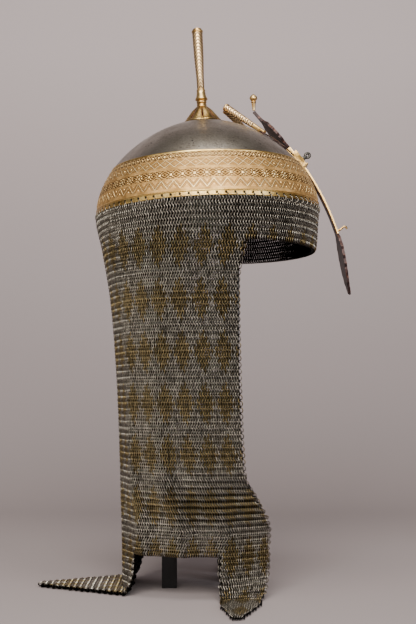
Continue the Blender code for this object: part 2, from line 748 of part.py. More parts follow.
def lappet_rows(hem, fold, centre, tip, straight, tip_width):
    """Rows of a lappet: down from the hem to its fold on the floor, then out to its tip.

    On the floor it keeps its width for the straight part of its length, then narrows about
    the line from the fold's centre to the tip, down to the tip's share of the width.
    """
    rows = []
    for _, height, out in LAPPET_HANG:
        rows.append([Vector((*top.xy.lerp(bottom, out), height)) for top, bottom in zip(hem, fold)])
    floor = LAPPET_HANG[-1][1]
    for step in range(1, LAPPET_FLOOR_ROWS + 1):
        part = step / LAPPET_FLOOR_ROWS
        taper = max(part - straight, 0.0) / (1.0 - straight)
        width = 1.0 - taper * (1.0 - tip_width)
        middle = centre.lerp(tip, part)
        rows.append([Vector((*(middle + (bottom - centre) * width), floor)) for bottom in fold])
    return rows


def line_points(first, last, count):
    return [first.lerp(last, place / count) for place in range(count + 1)]


def add_aventail(group, finish, frame):
    """The mail: a half surface, mirrored, with its wall added last."""
    shape = bmesh.new()

    def add_row(points):
        return [shape.verts.new(point) for point in points]

    def skin(rows):
        for high, low in zip(rows, rows[1:]):
            for here in range(len(high) - 1):
                shape.faces.new((high[here], low[here], low[here + 1], high[here + 1]))

    fringe = [add_row(fringe_row(step)) for step in range(FRINGE_ROWS + 1)]
    skin(fringe)
    side = [fringe[-1][FRONT_COLUMNS:]] + [add_row(mail_row(height)) for height in WALL_ROWS]
    skin(side)

    hem = side[-1]
    side_top = hem[:LAPPET_COLUMNS + 1]
    side_fold = line_points(SIDE_FOLD_FRONT, SIDE_FOLD_REAR, LAPPET_COLUMNS)
    side_centre = (SIDE_FOLD_FRONT + SIDE_FOLD_REAR) / 2
    side_rows = lappet_rows([vert.co for vert in side_top], side_fold, side_centre,
                            SIDE_LAPPET_TIP, SIDE_LAPPET_STRAIGHT, SIDE_TIP_WIDTH)
    skin([side_top] + [add_row(row) for row in side_rows])

    back_top = hem[-LAPPET_COLUMNS - 1:]
    back_edge = Vector((BACK_FOLD_X, -BACK_FOLD_HALF_WIDTH))
    back_centre = Vector((BACK_FOLD_X, 0.0))
    back_fold = line_points(back_edge, back_centre, LAPPET_COLUMNS)
    back_rows = lappet_rows([vert.co for vert in back_top], back_fold, back_centre,
                            BACK_LAPPET_TIP, 0.0, BACK_TIP_WIDTH)
    skin([back_top] + [add_row(row) for row in back_rows])

    bmesh.ops.recalc_face_normals(shape, faces=shape.faces)
    mail = new_object("aventail", shape, group, finish, frame)
    for face in mail.data.polygons:
        face.use_smooth = True
    mirror = mail.modifiers.new("mirror", "MIRROR")
    mirror.use_axis = (False, True, False)
    mirror.merge_threshold = 0.01 * MM
    thicken(mail, MAIL_WALL)


def add_stand(group, cutters, paint, felt, frame, inner_skull):
    """Three square legs under a round plate, with a pad cut to the skull's inside."""
    plate_top = BASE_HEIGHT + STAND_PLATE_TOP
    plate = bmesh.new()
    bmesh.ops.create_cone(plate, cap_ends=True, segments=32, radius1=STAND_PLATE_RADIUS,
                          radius2=STAND_PLATE_RADIUS, depth=STAND_PLATE_THICKNESS,
                          matrix=Matrix.Translation((0, 0, plate_top - STAND_PLATE_THICKNESS / 2)))
    stand = new_object("stand_frame", plate, group, paint, frame)
    leg_height = plate_top - STAND_PLATE_THICKNESS / 2
    places = (("rear", REAR_LEG.x, 0.0), ("front_right", FRONT_LEG.x, -FRONT_LEG.y),
              ("front_left", FRONT_LEG.x, FRONT_LEG.y))
    for name, x, y in places:
        leg = bmesh.new()
        size = Matrix.Diagonal((LEG_WIDTH, LEG_WIDTH, leg_height, 1.0))
        bmesh.ops.create_cube(leg, size=1.0,
                              matrix=Matrix.Translation((x, y, leg_height / 2)) @ size)
        guide = new_object("leg_" + name, leg, cutters, parent=frame)
        combine(stand, guide, "UNION", cutters)

    pad = bmesh.new()
    pad_middle = plate_top + GAP + PAD_BLANK_HEIGHT / 2
    bmesh.ops.create_cone(pad, cap_ends=True, segments=PAD_FACETS, radius1=PAD_RADIUS,
                          radius2=PAD_RADIUS, depth=PAD_BLANK_HEIGHT,
                          matrix=Matrix.Translation((0, 0, pad_middle)))
    block = new_object("stand_pad", pad, group, felt, frame)
    combine(block, inner_skull, "INTERSECT", cutters)


def build():
    clear_scene()
    group = new_collection("kulah_khud")
    cutters = new_collection("cutters")
    steel = new_material("grey steel", (0.20, 0.19, 0.17), 0.34, 1.0)
    gilt = new_material("gilding", (0.62, 0.45, 0.20), 0.36, 1.0)
    mail_steel = new_material("mail", (0.22, 0.20, 0.16), 0.45, 1.0)
    paint = new_material("black paint", (0.01, 0.01, 0.012), 0.5, 0.0)
    felt = new_material("felt", (0.03, 0.03, 0.03), 0.95, 0.0)

    frame = new_empty("foot", group, location=(AXIS_X, 0.0, 0.0))
    helmet = new_empty("helmet", group, frame, (0.0, 0.0, BASE_HEIGHT), (0.0, -LEAN_BACK, 0.0))
    nasal_axis = new_empty("nasal_axis", group, helmet, ARC_CENTRE)

    skull_cut = add_skull_solid("skull_clearance", skull_outside(GAP), RIM_HOLES, cutters, helmet)
    skull_skin = add_skull_solid("skull_skin", skull_outside(GAP + LEAF_PLATE_THICKNESS),
                                 RIM_HOLES, cutters, helmet)
    inner_skull = add_skull_solid("skull_inside", skull_meridian(-SKULL_WALL - GAP, INSIDE_ROWS),
                                  PAD_FACETS, cutters, helmet)

    add_bowl(group, cutters, steel, helmet)
    add_spike(group, gilt, helmet)
    add_plume_holder("plume_holder_right", -1, group, cutters, gilt, helmet, skull_cut, skull_skin)
    add_plume_holder("plume_holder_left", 1, group, cutters, gilt, helmet, skull_cut, skull_skin)
    add_staple(group, cutters, gilt, helmet, skull_cut)
    add_screw(group, cutters, steel, helmet)
    add_nasal(group, gilt, nasal_axis)
    add_bud(group, gilt, nasal_axis)
    add_hook(group, gilt, nasal_axis)
    add_aventail(group, mail_steel, frame)
    add_stand(group, cutters, paint, felt, frame, inner_skull)


build()
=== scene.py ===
"""A kulah khud helmet on its plain stand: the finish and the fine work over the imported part.

Metres, +Z up, the helmet's front toward +X. Pieces of the helmet are shaped upright about its own
axis and then leaned back with it. The mail is laid ring by ring over the surface that the packed
mail wall has.
"""

import math

import bmesh
import bpy
import numpy as np
from mathutils import Matrix, Vector


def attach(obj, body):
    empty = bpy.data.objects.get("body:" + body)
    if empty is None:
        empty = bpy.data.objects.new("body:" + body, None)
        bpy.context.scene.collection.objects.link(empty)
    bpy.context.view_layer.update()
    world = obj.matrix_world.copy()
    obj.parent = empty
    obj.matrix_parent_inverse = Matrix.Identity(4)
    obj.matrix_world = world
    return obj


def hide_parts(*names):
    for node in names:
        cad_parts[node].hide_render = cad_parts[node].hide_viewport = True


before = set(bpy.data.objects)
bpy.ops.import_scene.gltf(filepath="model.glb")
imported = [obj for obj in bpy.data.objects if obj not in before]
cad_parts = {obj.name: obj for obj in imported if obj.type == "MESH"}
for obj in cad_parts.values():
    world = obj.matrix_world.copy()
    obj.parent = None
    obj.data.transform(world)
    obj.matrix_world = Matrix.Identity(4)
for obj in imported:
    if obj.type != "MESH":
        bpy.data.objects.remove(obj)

MM = 0.001


def in_metres(rows, *columns):
    """A table whose lengths, in the given columns, are written in millimetres."""
    return tuple(tuple(value * MM if column in columns else value
                       for column, value in enumerate(row)) for row in rows)


# The helmet's axis, the height of the dome's base circle and the backward lean
AXIS_X = 12.0 * MM
BASE_HEIGHT = 355.6 * MM
LEAN_BACK = math.radians(2.1)
HELMET = Matrix.Translation((AXIS_X, 0, BASE_HEIGHT)) @ Matrix.Rotation(-LEAN_BACK, 4, "Y")

# The skull's meridian, its band with a raised line at each edge, and the holes above its rim
SKULL_RADIUS = 104.5 * MM
SKULL_HEIGHT = 84.9 * MM
SKULL_POWER = 1.75
SKULL_WALL = 1.8 * MM
RIM_DROP = 3.4 * MM
RIM_HOLES = 82
HOLE_WIDTH = 2.1 * MM
HOLE_HEIGHT = -1.1 * MM
STEPS_PER_HOLE = 4
BAND_BOTTOM = 1.0 * MM
BAND_TOP = 38.3 * MM
BAND_RIB = 0.6 * MM
BAND_RIB_WIDTH = 1.6 * MM
RIB_STEPS = 6
RIM_CHAMFER = 0.3 * MM
CROWN_STEPS = 20
BAND_STEPS = 8
INSIDE_STEPS = 12

# The gap between parts that rivets or solder join, and the level at which the mail starts, one
# gap below the rim
GAP = 0.3 * MM
MAIL_TOP = BASE_HEIGHT - RIM_DROP - GAP

# The spike's seat over the crown
SPIKE_X = -1.5 * MM
SPIKE_HEIGHT = 86.9 * MM
SPIKE_LEAN = math.radians(1.4)
SPIKE = (HELMET @ Matrix.Translation((SPIKE_X, 0, SPIKE_HEIGHT))
         @ Matrix.Rotation(-SPIKE_LEAN, 4, "Y"))
PETALS = 8
PETAL_STEPS = 16
PETAL_ROWS = 3
PETAL_FULLNESS = 0.7
LAC_WIDTH = 0.16
LAC_FOOT = -0.5 * MM
LAC_TOP = 10.5 * MM
SOCKET_SIDES = 48

# The plume holders
HOLDER_ROOT_TURN = math.radians(26.0)
HOLDER_ROOT_HEIGHT = 66.0 * MM
HOLDER_MOUTH = Vector((20.6, 4.5, 96.2)) * MM
HOLDER_MOUTH_RADIUS = 3.8 * MM
HOLDER_ROOT_RADIUS = 2.1 * MM
HOLDER_BORE_DEPTH = 30.0 * MM
LEAF_PLATE_TURN = math.radians(15.0)
LEAF_PLATE_HEIGHT = 47.0 * MM
LEAF_PLATE_HALF_WIDTH = 6.2 * MM
LEAF_PLATE_THICKNESS = 1.3 * MM
LEAF_PLATE_OVERLAP = 3.0 * MM
LEAF_PLATE_WAVES = 4
LEAF_PLATE_WAVE = 0.7 * MM
LEAF_PLATE_TIP = 0.4 * MM
LEAF_PLATE_FULLNESS = 0.6
LEAF_PLATE_COLUMNS = 10
LEAF_PLATE_ROWS = 48
HOLDER_SIDES = 40

# The nasal's arc
ARC_CENTRE = Vector((-109.6, 0.0, -93.6)) * MM
ARC_RADIUS = 240.6 * MM
NASAL = HELMET @ Matrix.Translation(ARC_CENTRE)
NASAL_THICKNESS = 2.4 * MM
BAR_HALF_WIDTH = 5.0 * MM
TOOTH_DEPTH = 1.3 * MM
TOOTH_LEAN = 0.65
LEAF_TEETH = 7
NASAL_COLUMNS = 8
NASAL_ROWS = 300
BUD_SIDES = 36

# Height above the crown and radius of each petal ring, in millimetres, and how deep its grooves
# cut as a share of the radius
PETAL_RINGS = in_metres((
    ("hollow under it", -2.4, 15.2, 0.06),
    ("lower edge", -3.8, 18.8, 0.05),
    ("edge's back", -3.0, 18.6, 0.06),
    ("flare's foot", -1.6, 17.2, 0.08),
    ("flare", 0.2, 15.8, 0.10),
    ("flank's foot", 3.4, 13.3, 0.11),
    ("flank", 7.0, 10.4, 0.11),
    ("throat", 9.9, 7.4, 0.08),
    ("neck", 11.8, 4.9, 0.00),
), 1, 2)

# Height above the crown and radius of each turn of the socket, in millimetres, from the foot of
# its bore
SOCKET_TURNS = in_metres((
    ("bore foot", 43.3, 0.0),
    ("bore wall", 43.3, 2.6),
    ("bore mouth", 85.3, 3.5),
    ("mouth lip", 85.3, 4.1),
    ("lip foot", 84.3, 4.2),
    ("flange top", 83.8, 5.1),
    ("flange edge", 83.4, 5.35),
    ("flange foot", 82.2, 5.3),
    ("groove under it", 81.8, 4.8),
    ("tube top", 81.2, 4.95),
    ("tube middle", 59.0, 4.55),
    ("tube waist", 40.0, 3.6),
    ("tube foot", 28.8, 3.45),
    ("groove above the ring", 28.3, 3.2),
    ("ring top", 27.8, 4.0),
    ("ring", 27.1, 4.3),
    ("ring foot", 26.4, 3.9),
    ("baluster top", 25.4, 4.1),
    ("baluster flank", 21.4, 4.7),
    ("baluster swell", 19.8, 5.6),
    ("baluster belly", 18.6, 6.0),
    ("belly's foot", 17.7, 5.1),
    ("baluster foot", 17.2, 4.3),
    ("bead top", 16.6, 4.6),
    ("bead", 16.0, 4.85),
    ("bead foot", 15.4, 4.6),
    ("groove under the bead", 14.7, 4.0),
    ("collar top", 14.0, 4.7),
    ("collar foot", 11.7, 4.6),
    ("under the collar", 11.7, 0.0),
), 1, 2)
TUBE_LOW = 28.8 * MM
TUBE_HIGH = 81.3 * MM
TUBE_SKIN = 3.3 * MM

# Height above the bud's foot and radius of each turn, in millimetres, from its point down
BUD_TURNS = in_metres((
    ("point", 15.6, 0.0),
    ("point's flank", 15.2, 0.7),
    ("shoulder", 14.4, 1.9),
    ("upper ball", 13.2, 3.1),
    ("above the belly", 12.3, 3.55),
    ("belly", 11.4, 3.7),
    ("below the belly", 10.5, 3.45),
    ("lower ball", 9.8, 2.95),
    ("ball foot", 8.9, 1.9),
    ("collar top", 8.3, 2.3),
    ("collar", 7.8, 2.6),
    ("collar foot", 7.2, 2.3),
    ("stem top", 6.7, 1.9),
    ("stem foot", 0.0, 1.4),
    ("under the stem", 0.0, 0.0),
), 1, 2)

# Each leaf's places on the arc in degrees, with the half width and the lift off the arc there in
# millimetres
UPPER_LEAF = in_metres((
    ("stem end", 49.8, 1.6, 2.4),
    ("stem", 48.2, 1.7, 1.2),
    ("leaf tip", 46.9, 3.4, 0.6),
    ("upper edge", 45.6, 12.6, 0.0),
    ("widest", 43.6, 15.8, -0.8),
    ("lower edge", 41.2, 13.8, -0.9),
    ("shoulder", 39.4, 7.6, -0.5),
    ("neck", 38.6, 5.0, 0.0),
), 2, 3)
LOWER_LEAF = in_metres((
    ("neck", 16.3, 5.0, 0.0),
    ("shoulder", 15.2, 10.0, 0.0),
    ("upper edge", 13.2, 15.6, -0.6),
    ("widest", 10.6, 16.6, -1.2),
    ("lower edge", 7.8, 14.6, -1.4),
    ("taper", 5.0, 9.4, -0.9),
    ("tip", 2.3, 0.8, 0.6),
), 2, 3)

# Each level of the mail: its height, how far its outline reaches behind, in front and to the
# side, in millimetres, and how square the outline's corners are
MAIL_LEVELS = in_metres((
    ("rim", 352.0, -103.0, 103.2, 103.2, 2.00),
    ("under the rim", 343.0, -102.6, 102.4, 102.6, 2.00),
    ("fringe foot", 318.0, -97.4, 100.2, 99.2, 2.05),
    ("cheek", 271.0, -89.6, 91.0, 92.5, 2.15),
    ("jaw", 209.0, -84.0, 84.0, 85.5, 2.30),
    ("neck", 152.0, -80.8, 76.0, 79.5, 2.45),
    ("shoulder", 84.0, -78.4, 70.0, 73.5, 2.55),
    ("hem", 40.0, -77.0, 66.0, 70.5, 2.60),
), 1, 2, 3, 4)

# Height and x of the face opening's edge in millimetres, down to the front of the side lappets
FACE_EDGE = in_metres((
    ("brow corner", 318.0, 35.4),
    ("corner's foot", 290.0, 29.3),
    ("cheek", 264.0, 28.6),
    ("jaw", 181.0, 30.6),
    ("neck", 112.0, 34.3),
    ("lappet starts", 98.0, 38.5),
    ("lappet flares", 81.0, 48.4),
    ("lappet's front", 66.0, 55.0),
    ("hem", 40.0, 54.6),
), 1, 2)
FLARE_TOP = 112.0 * MM
FRINGE_FOOT = 318.0 * MM
HEM_HEIGHT = 40.0 * MM
OUTLINE_STEPS = 1440

# The soft upright folds: how many from the back to the face, their depth at the hem and how they
# deepen on the way down
FOLDS = 4.5
FOLD_DEPTH = 2.4 * MM
FOLD_GROWTH = 1.5

# A lappet's share of the hem between the back and the face
LAPPET_SHARE = 5 / 18

# Each row of a hanging lappet: its height in millimetres and how far it has gone out to the
# fold. The rings lean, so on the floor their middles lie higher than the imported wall's
LAPPET_HANG = in_metres((
    ("hem", 40.0, 0.0),
    ("under the hem", 29.0, 0.04),
    ("middle", 18.0, 0.16),
    ("bend", 9.2, 0.42),
    ("lower bend", 4.7, 0.72),
    ("fold", 2.7, 1.0),
), 1)
FLOOR_ROWS = 4
LAPPET_STEPS = 8

# Each lappet: the rear and front ends of its fold, its tip, the share of its length that keeps
# its width, and the share of the width left at the tip
SIDE_LAPPET = (Vector((12.5, -80.0)) * MM, Vector((46.5, -76.0)) * MM,
               Vector((24.0, -149.0)) * MM, 0.28, 0.22)
BACK_LAPPET = (Vector((-76.5, 47.0)) * MM, Vector((-76.5, -47.0)) * MM,
               Vector((-158.5, 0.0)) * MM, 0.0, 0.08)

# The weave: 246 rings round the rim, three to a hole, in rows 2.83 mm apart. The columns are
# counted from the middle of the back, and the way down is measured a little below each row
FRINGE_COLUMNS = 3 * RIM_HOLES // 2
WALL_COLUMNS = 75
ROW_PITCH = 2.83 * MM
LOOK_BELOW = ROW_PITCH / 4
FIRST_ROW = 0.75
EDGE_COLUMNS = 0.6
RING_RADIUS = 2.35 * MM
RING_WIRE = 0.98 * MM
RING_SIDES = 7
WIRE_SIDES = 3
RING_LEAN = math.radians(53)
LEAN_SCATTER = math.radians(1.5)
PLACE_SCATTER = 0.03 * MM
PATH_STEPS = 400
SCATTER_SEED = 7

# Painted light on the rings: the painted highlight on a ring's crest and its scatter, the least
# that it may be, the share of it on the wire's flanks, and where it begins, as a share of the
# ring's radius; the part of each ring behind that is painted shade
CREST_HIGHLIGHT = 0.86
HIGHLIGHT_SCATTER = 0.07
LEAST_HIGHLIGHT = 0.6
FLANK_HIGHLIGHT = 0.6
HIGHLIGHT_FROM = 0.1

# Where the mail hangs, its wire is thicker behind, which closes the gaps that rings drawn this
# coarse leave: the most it gains, and the steepness, 0 flat and 1 upright, at which the gain
# begins and is full
BACK_SWELL = 1.2
SWELL_FROM = 4 / 15
SWELL_FULL = 14 / 15

# The brass lozenges: how many columns and rows apart, where the first is, and their half sizes
LOZENGE_COLUMNS = 8
LOZENGE_ROWS = 16
LOZENGE_FIRST_COLUMN = 4
LOZENGE_FIRST_ROW = 14
LOZENGE_HALF_COLUMNS = 3.7
LOZENGE_HALF_ROWS = 6.7

# The rings through the rim's holes
RIM_RING_RADIUS = 2.6 * MM
RIM_RING_WIRE = 0.95 * MM
RIM_RING_DROP = 4.1 * MM
RIM_RING_TURN = math.radians(38)
RIM_RING_SIDES = 12
RIM_WIRE_SIDES = 5
RIM_RING_TONE = 0.65

# The band's cut rows: middle height and half height in millimetres, how many figures round,
# whether the line crosses into lozenges, and the colours from the line outward
BAND_ROWS = in_metres((
    ("lozenge row", 34.6, 2.9, 100, True,
     ((0.0, "#efcf98"), (0.13, "#d3ab70"), (0.22, "#35261a"), (0.5, "#4b3725"), (0.75, "#a07c4a"),
      (1.0, "#35261a"))),
    ("chevron row", 27.1, 3.6, 66, True,
     ((0.0, "#f6dcaa"), (0.09, "#ecc98e"), (0.14, "#4a3523"), (0.27, "#5c432c"), (0.34, "#c0975b"),
      (1.0, "#8d6839"))),
    ("rosette row", 16.7, 4.0, 60, True,
     ((0.0, "#cfa76c"), (0.12, "#b98f56"), (0.20, "#2c1f14"), (0.42, "#3d2c1c"), (0.52, "#c79d60"),
      (0.72, "#a27c48"), (0.82, "#241910"))),
    ("zigzag row", 7.7, 3.7, 56, False,
     ((0.0, "#fae2b2"), (0.08, "#f6d9a2"), (0.12, "#533b24"), (0.21, "#6b4d2f"), (0.25, "#cda467"),
      (0.35, "#c0985d"), (0.38, "#68492b"), (0.45, "#68492b"), (0.49, "#cfa569"))),
), 1, 2)

# The band's raised ornament, row by row, with lengths in millimetres: height above the base
# circle, how many round, where the first is, half width, half height, sides, turn in degrees and
# rise
BAND_STAMPS = in_metres((
    ("lozenge hearts", 34.6, 100, 0.5, 1.3, 1.2, 4, 0, 0.40),
    ("upper line", 31.1, 240, 0.5, 1.4, 0.25, 4, 0, 0.25),
    ("chevron dots", 27.1, 66, 0.5, 1.0, 0.95, 6, 0, 0.45),
    ("middle line", 22.3, 240, 0.5, 1.45, 0.40, 4, 0, 0.35),
    ("rosette eyes", 16.7, 60, 0.0, 1.5, 1.5, 10, 0, 0.35),
    ("lower line", 12.1, 240, 0.5, 1.45, 0.30, 4, 0, 0.30),
    ("zigzag rising", 7.7, 56, 0.25, 4.6, 0.34, 4, 52, 0.30),
    ("zigzag falling", 7.7, 56, 0.75, 4.6, 0.34, 4, -52, 0.30),
    ("dots under the peaks", 5.9, 56, 0.5, 0.8, 0.7, 6, 0, 0.35),
    ("dots over the dips", 9.5, 56, 0.0, 0.8, 0.7, 6, 0, 0.35),
), 1, 4, 5, 8)
ROSETTES = 60
ROSETTE_HEIGHT = 16.7 * MM
ROSETTE_PETALS = 8
ROSETTE_REACH = 3.0 * MM
ROSETTE_PETAL = 0.75 * MM
ROSETTE_PETAL_SIDES = 5
STAMP_TOP = 0.5
STAMP_SINK = 0.1 * MM

# The tubes' herringbone: strips round a tube, the pitch of its lines and their slope. The real
# lines are some 2 mm apart, too fine to show, so they are drawn coarser
HERRINGBONE_STRIPS = 3
HERRINGBONE_PITCH = 3.1 * MM
HERRINGBONE_SLOPE = 2.6

# How far the hand-cut lines of the band wander up and down
BAND_WAVER = 1.2 * MM

# How much fuller the screw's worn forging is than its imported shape
SCREW_SWELL = 0.6 * MM

# The camera, level with the mail's middle, and its lens
CAMERA_PLACE = (AXIS_X + 0.4 * MM, -1017.0 * MM, 188.2 * MM)
FRAME_HEIGHT = 624
FOCAL_PIXELS = 1075
SHIFT_PIXELS = 76
SENSOR = 36.0

# The angle in degrees from which an edge between faces is sharp
SHARP = 35.0

# Sockets of the mix node for colours
MIX_A = 6
MIX_B = 7
MIX_RESULT = 2


def hex_colour(text):
    """An sRGB hex value as linear light."""
    channels = [int(text[start:start + 2], 16) / 255 for start in (1, 3, 5)]
    return (*(value / 12.92 if value <= 0.04045 else ((value + 0.055) / 1.055) ** 2.4
              for value in channels), 1.0)


def add_node(tree, kind, inputs=None, result=0, stops=(), **settings):
    """Add a shader node and give its result socket.

    An input's value is a constant or the socket to link from. Stops are a colour ramp's places
    and sRGB hex values.
    """
    node = tree.nodes.new("ShaderNode" + kind)
    for name, value in settings.items():
        setattr(node, name, value)
    for name, value in (inputs or {}).items():
        if isinstance(value, bpy.types.NodeSocket):
            tree.links.new(value, node.inputs[name])
        else:
            node.inputs[name].default_value = value
    for number, (place, colour) in enumerate(stops):
        if number > 1:
            node.color_ramp.elements.new(place)
        node.color_ramp.elements[number].position = place
        node.color_ramp.elements[number].color = hex_colour(colour)
    return node.outputs[result]


def new_material(name, metallic, roughness, sheen=0.0):
    """A material and its tree, ready for its colour and bump."""
    material = bpy.data.materials.new(name)
    material.use_nodes = True
    shader = material.node_tree.nodes["Principled BSDF"]
    shader.inputs["Metallic"].default_value = metallic
    shader.inputs["Roughness"].default_value = roughness
    shader.inputs["Sheen Weight"].default_value = sheen
    return material, material.node_tree


def give_finish(material, colour, bump=None, gloss=None):
    """Link the colour to the material's shader, with the bump and the roughness that it has."""
    tree = material.node_tree
    shader = tree.nodes["Principled BSDF"]
    for name, socket in (("Base Color", colour), ("Normal", bump), ("Roughness", gloss)):
        if socket is not None:
            tree.links.new(socket, shader.inputs[name])
    return material


def polished_steel():
    """Old polished steel: dark grey with a fine grain, brown clouds of patina and small pits."""
    material, tree = new_material("polished steel with patina", 1.0, 0.36)
    place = add_node(tree, "TexCoord", result="Object")
    clouds = add_node(tree, "TexNoise", {"Vector": place, "Scale": 1 / (38 * MM), "Detail": 6.0,
                                         "Roughness": 0.65})
    grain = add_node(tree, "TexNoise", {"Vector": place, "Scale": 1 / (1.6 * MM), "Detail": 2.0})
    spread = add_node(tree, "Math", {0: grain, 1: 0.35, 2: clouds}, operation="MULTIPLY_ADD")
    tint = add_node(tree, "ValToRGB", {"Fac": spread},
                    stops=((0.45, "#6b6257"), (0.66, "#938b80"), (0.88, "#b3aca2")))
    pits = add_node(tree, "TexVoronoi", {"Vector": place, "Scale": 1 / (2.4 * MM)})
    patches = add_node(tree, "TexNoise", {"Vector": place, "Scale": 1 / (17 * MM), "Detail": 3.0})
    near = add_node(tree, "MapRange", {"Value": pits, "From Min": 0.20, "From Max": 0.42,
                                       "To Min": 1.0, "To Max": 0.0})
    where = add_node(tree, "MapRange", {"Value": patches, "From Min": 0.54, "From Max": 0.64})
    pitting = add_node(tree, "Math", {0: near, 1: where}, operation="MULTIPLY")
    mixed = add_node(tree, "Mix", {0: pitting, MIX_A: tint, MIX_B: hex_colour("#2c2620")},
                     MIX_RESULT, data_type="RGBA")
    gloss = add_node(tree, "MapRange", {"Value": spread, "From Min": 0.45, "From Max": 0.88,
                                        "To Min": 0.42, "To Max": 0.30})
    depth = add_node(tree, "Math", {0: pitting, 1: -1.0}, operation="MULTIPLY")
    bump = add_node(tree, "Bump", {"Height": depth, "Strength": 0.5, "Distance": 0.15 * MM})
    return give_finish(material, mixed, bump, gloss)


def gilding(name, wear_and_highlight, middle, bright, roughness):
    """Fire gilding, bare or under lac: warm gold, rubbed to a browner tone in fine specks."""
    material, tree = new_material(name, 1.0, roughness)
    place = add_node(tree, "TexCoord", result="Object")
    specks = add_node(tree, "TexNoise", {"Vector": place, "Scale": 1 / (1.1 * MM), "Detail": 4.0,
                                         "Roughness": 0.7})
    clouds = add_node(tree, "TexNoise", {"Vector": place, "Scale": 1 / (16 * MM), "Detail": 3.0})
    both = add_node(tree, "Math", {0: specks, 1: clouds}, operation="ADD")
    half = add_node(tree, "Math", {0: both, 1: 0.5}, operation="MULTIPLY")
    tint = add_node(tree, "ValToRGB", {"Fac": half},
                    stops=((0.36, wear_and_highlight), (0.48, middle), (0.60, bright)))
    bump = add_node(tree, "Bump", {"Height": specks, "Strength": 0.35, "Distance": 0.12 * MM})
    return give_finish(material, tint, bump)


def herringbone_gilding(name, first):
    """Gilding cut with herringbone: dark lines that rise to a ridge down each strip of the tube."""
    material, tree = new_material(name, 1.0, 0.36)
    uv = add_node(tree, "UVMap", uv_map="UVMap")
    across = add_node(tree, "SeparateXYZ", {"Vector": uv}, "X")
    up = add_node(tree, "SeparateXYZ", {"Vector": uv}, "Y")
    strip = add_node(tree, "Math", {0: across, 1: HERRINGBONE_STRIPS, 2: first},
                     operation="MULTIPLY_ADD")
    folded = add_node(tree, "Math", {0: strip, 1: 0.5}, operation="PINGPONG")
    rise = add_node(tree, "Math", {0: up, 1: 1 / HERRINGBONE_PITCH}, operation="MULTIPLY")
    slope = add_node(tree, "Math", {0: folded, 1: HERRINGBONE_SLOPE, 2: rise},
                     operation="MULTIPLY_ADD")
    saw = add_node(tree, "Math", {0: slope, 1: 0.5}, operation="PINGPONG")
    line = add_node(tree, "MapRange", {"Value": saw, "From Min": 0.15, "From Max": 0.25})
    tint = add_node(tree, "ValToRGB", {"Fac": line},
                    stops=((0.0, "#38261a"), (0.6, "#c09766"), (1.0, "#f0cd9c")))
    bump = add_node(tree, "Bump", {"Height": line, "Strength": 0.7, "Distance": 0.3 * MM})
    return give_finish(material, tint, bump)


def cut_band():
    """The band's gilding, cut in four rows so that brown iron shows dark in the lines."""
    material, tree = new_material("band of cut gilding", 1.0, 0.62)
    uv = add_node(tree, "UVMap", uv_map="UVMap")
    across = add_node(tree, "SeparateXYZ", {"Vector": uv}, "X")
    up = add_node(tree, "SeparateXYZ", {"Vector": uv}, "Y")
    place = add_node(tree, "TexCoord", result="Object")
    wobble = add_node(tree, "TexNoise", {"Vector": place, "Scale": 1 / (2.2 * MM), "Detail": 3.0})
    height = add_node(tree, "Math", {0: wobble, 1: BAND_WAVER, 2: up}, operation="MULTIPLY_ADD")
    clouds = add_node(tree, "TexNoise", {"Vector": place, "Scale": 1 / (9 * MM), "Detail": 4.0})
    tint = add_node(tree, "ValToRGB", {"Fac": clouds},
                    stops=((0.35, "#aa8550"), (0.55, "#d2ab6e"), (0.70, "#e7c388")))
    for _, middle, half, columns, crossed, stops in BAND_ROWS:
        turn = add_node(tree, "Math", {0: across, 1: columns}, operation="MULTIPLY")
        folded = add_node(tree, "Math", {0: turn, 1: 0.5}, operation="PINGPONG")
        spread = add_node(tree, "Math", {0: folded, 1: 2.0}, operation="MULTIPLY")
        foot = middle if crossed else middle - half
        span = half if crossed else 2 * half
        above = add_node(tree, "Math", {0: height, 1: foot + BAND_WAVER / 2},
                         operation="SUBTRACT")
        level = add_node(tree, "Math", {0: above, 1: 1 / span}, operation="MULTIPLY")
        apart = add_node(tree, "Math", {0: level}, operation="ABSOLUTE")
        gap = add_node(tree, "Math", {0: spread, 1: apart}, operation="SUBTRACT")
        distance = add_node(tree, "Math", {0: gap}, operation="ABSOLUTE")
        colour = add_node(tree, "ValToRGB", {"Fac": distance}, stops=stops)
        inside = add_node(tree, "Math", {0: up, 1: middle, 2: half}, operation="COMPARE")
        tint = add_node(tree, "Mix", {0: inside, MIX_A: tint, MIX_B: colour}, MIX_RESULT,
                        data_type="RGBA")
    wear_and_highlight = add_node(tree, "MapRange", {"Value": clouds, "From Min": 0.5, "From Max": 0.75,
                                       "To Max": 0.35})
    rubbed = add_node(tree, "Mix", {0: wear_and_highlight, MIX_A: tint, MIX_B: hex_colour("#deb679")},
                      MIX_RESULT, data_type="RGBA")
    bump = add_node(tree, "Bump", {"Height": wobble, "Strength": 0.3, "Distance": 0.2 * MM})
    return give_finish(material, rubbed, bump)


def nasal_edge_shade_gilding():
    """The nasal bar's gilding: gold on the outer half of its edges, with painted shade in dark
    brown on the inner half, toward the skull.
    """
    material, tree = new_material("gilding with painted shade on the nasal's inner edges", 1.0, 0.38)
    place = add_node(tree, "TexCoord", result="Object")
    clouds = add_node(tree, "TexNoise", {"Vector": place, "Scale": 1 / (2.5 * MM), "Detail": 3.0})
    reach = add_node(tree, "VectorMath", {0: place, 1: NASAL.translation}, "Value",
                     operation="DISTANCE")
    uneven = add_node(tree, "Math", {0: clouds, 1: 0.8 * MM, 2: reach}, operation="MULTIPLY_ADD")
    outer = add_node(tree, "MapRange", {"Value": uneven, "From Min": ARC_RADIUS + 0.1 * MM,
                                        "From Max": ARC_RADIUS + 0.6 * MM})
    # Painted shade: dark brown on the inner half of the edges, gold on the outer half, with an
    # uneven border between
    tint = add_node(tree, "ValToRGB", {"Fac": outer},
                    stops=((0.0, "#2a1b14"), (0.5, "#8d6f3f"), (1.0, "#e0bb78")))
    return give_finish(material, tint)


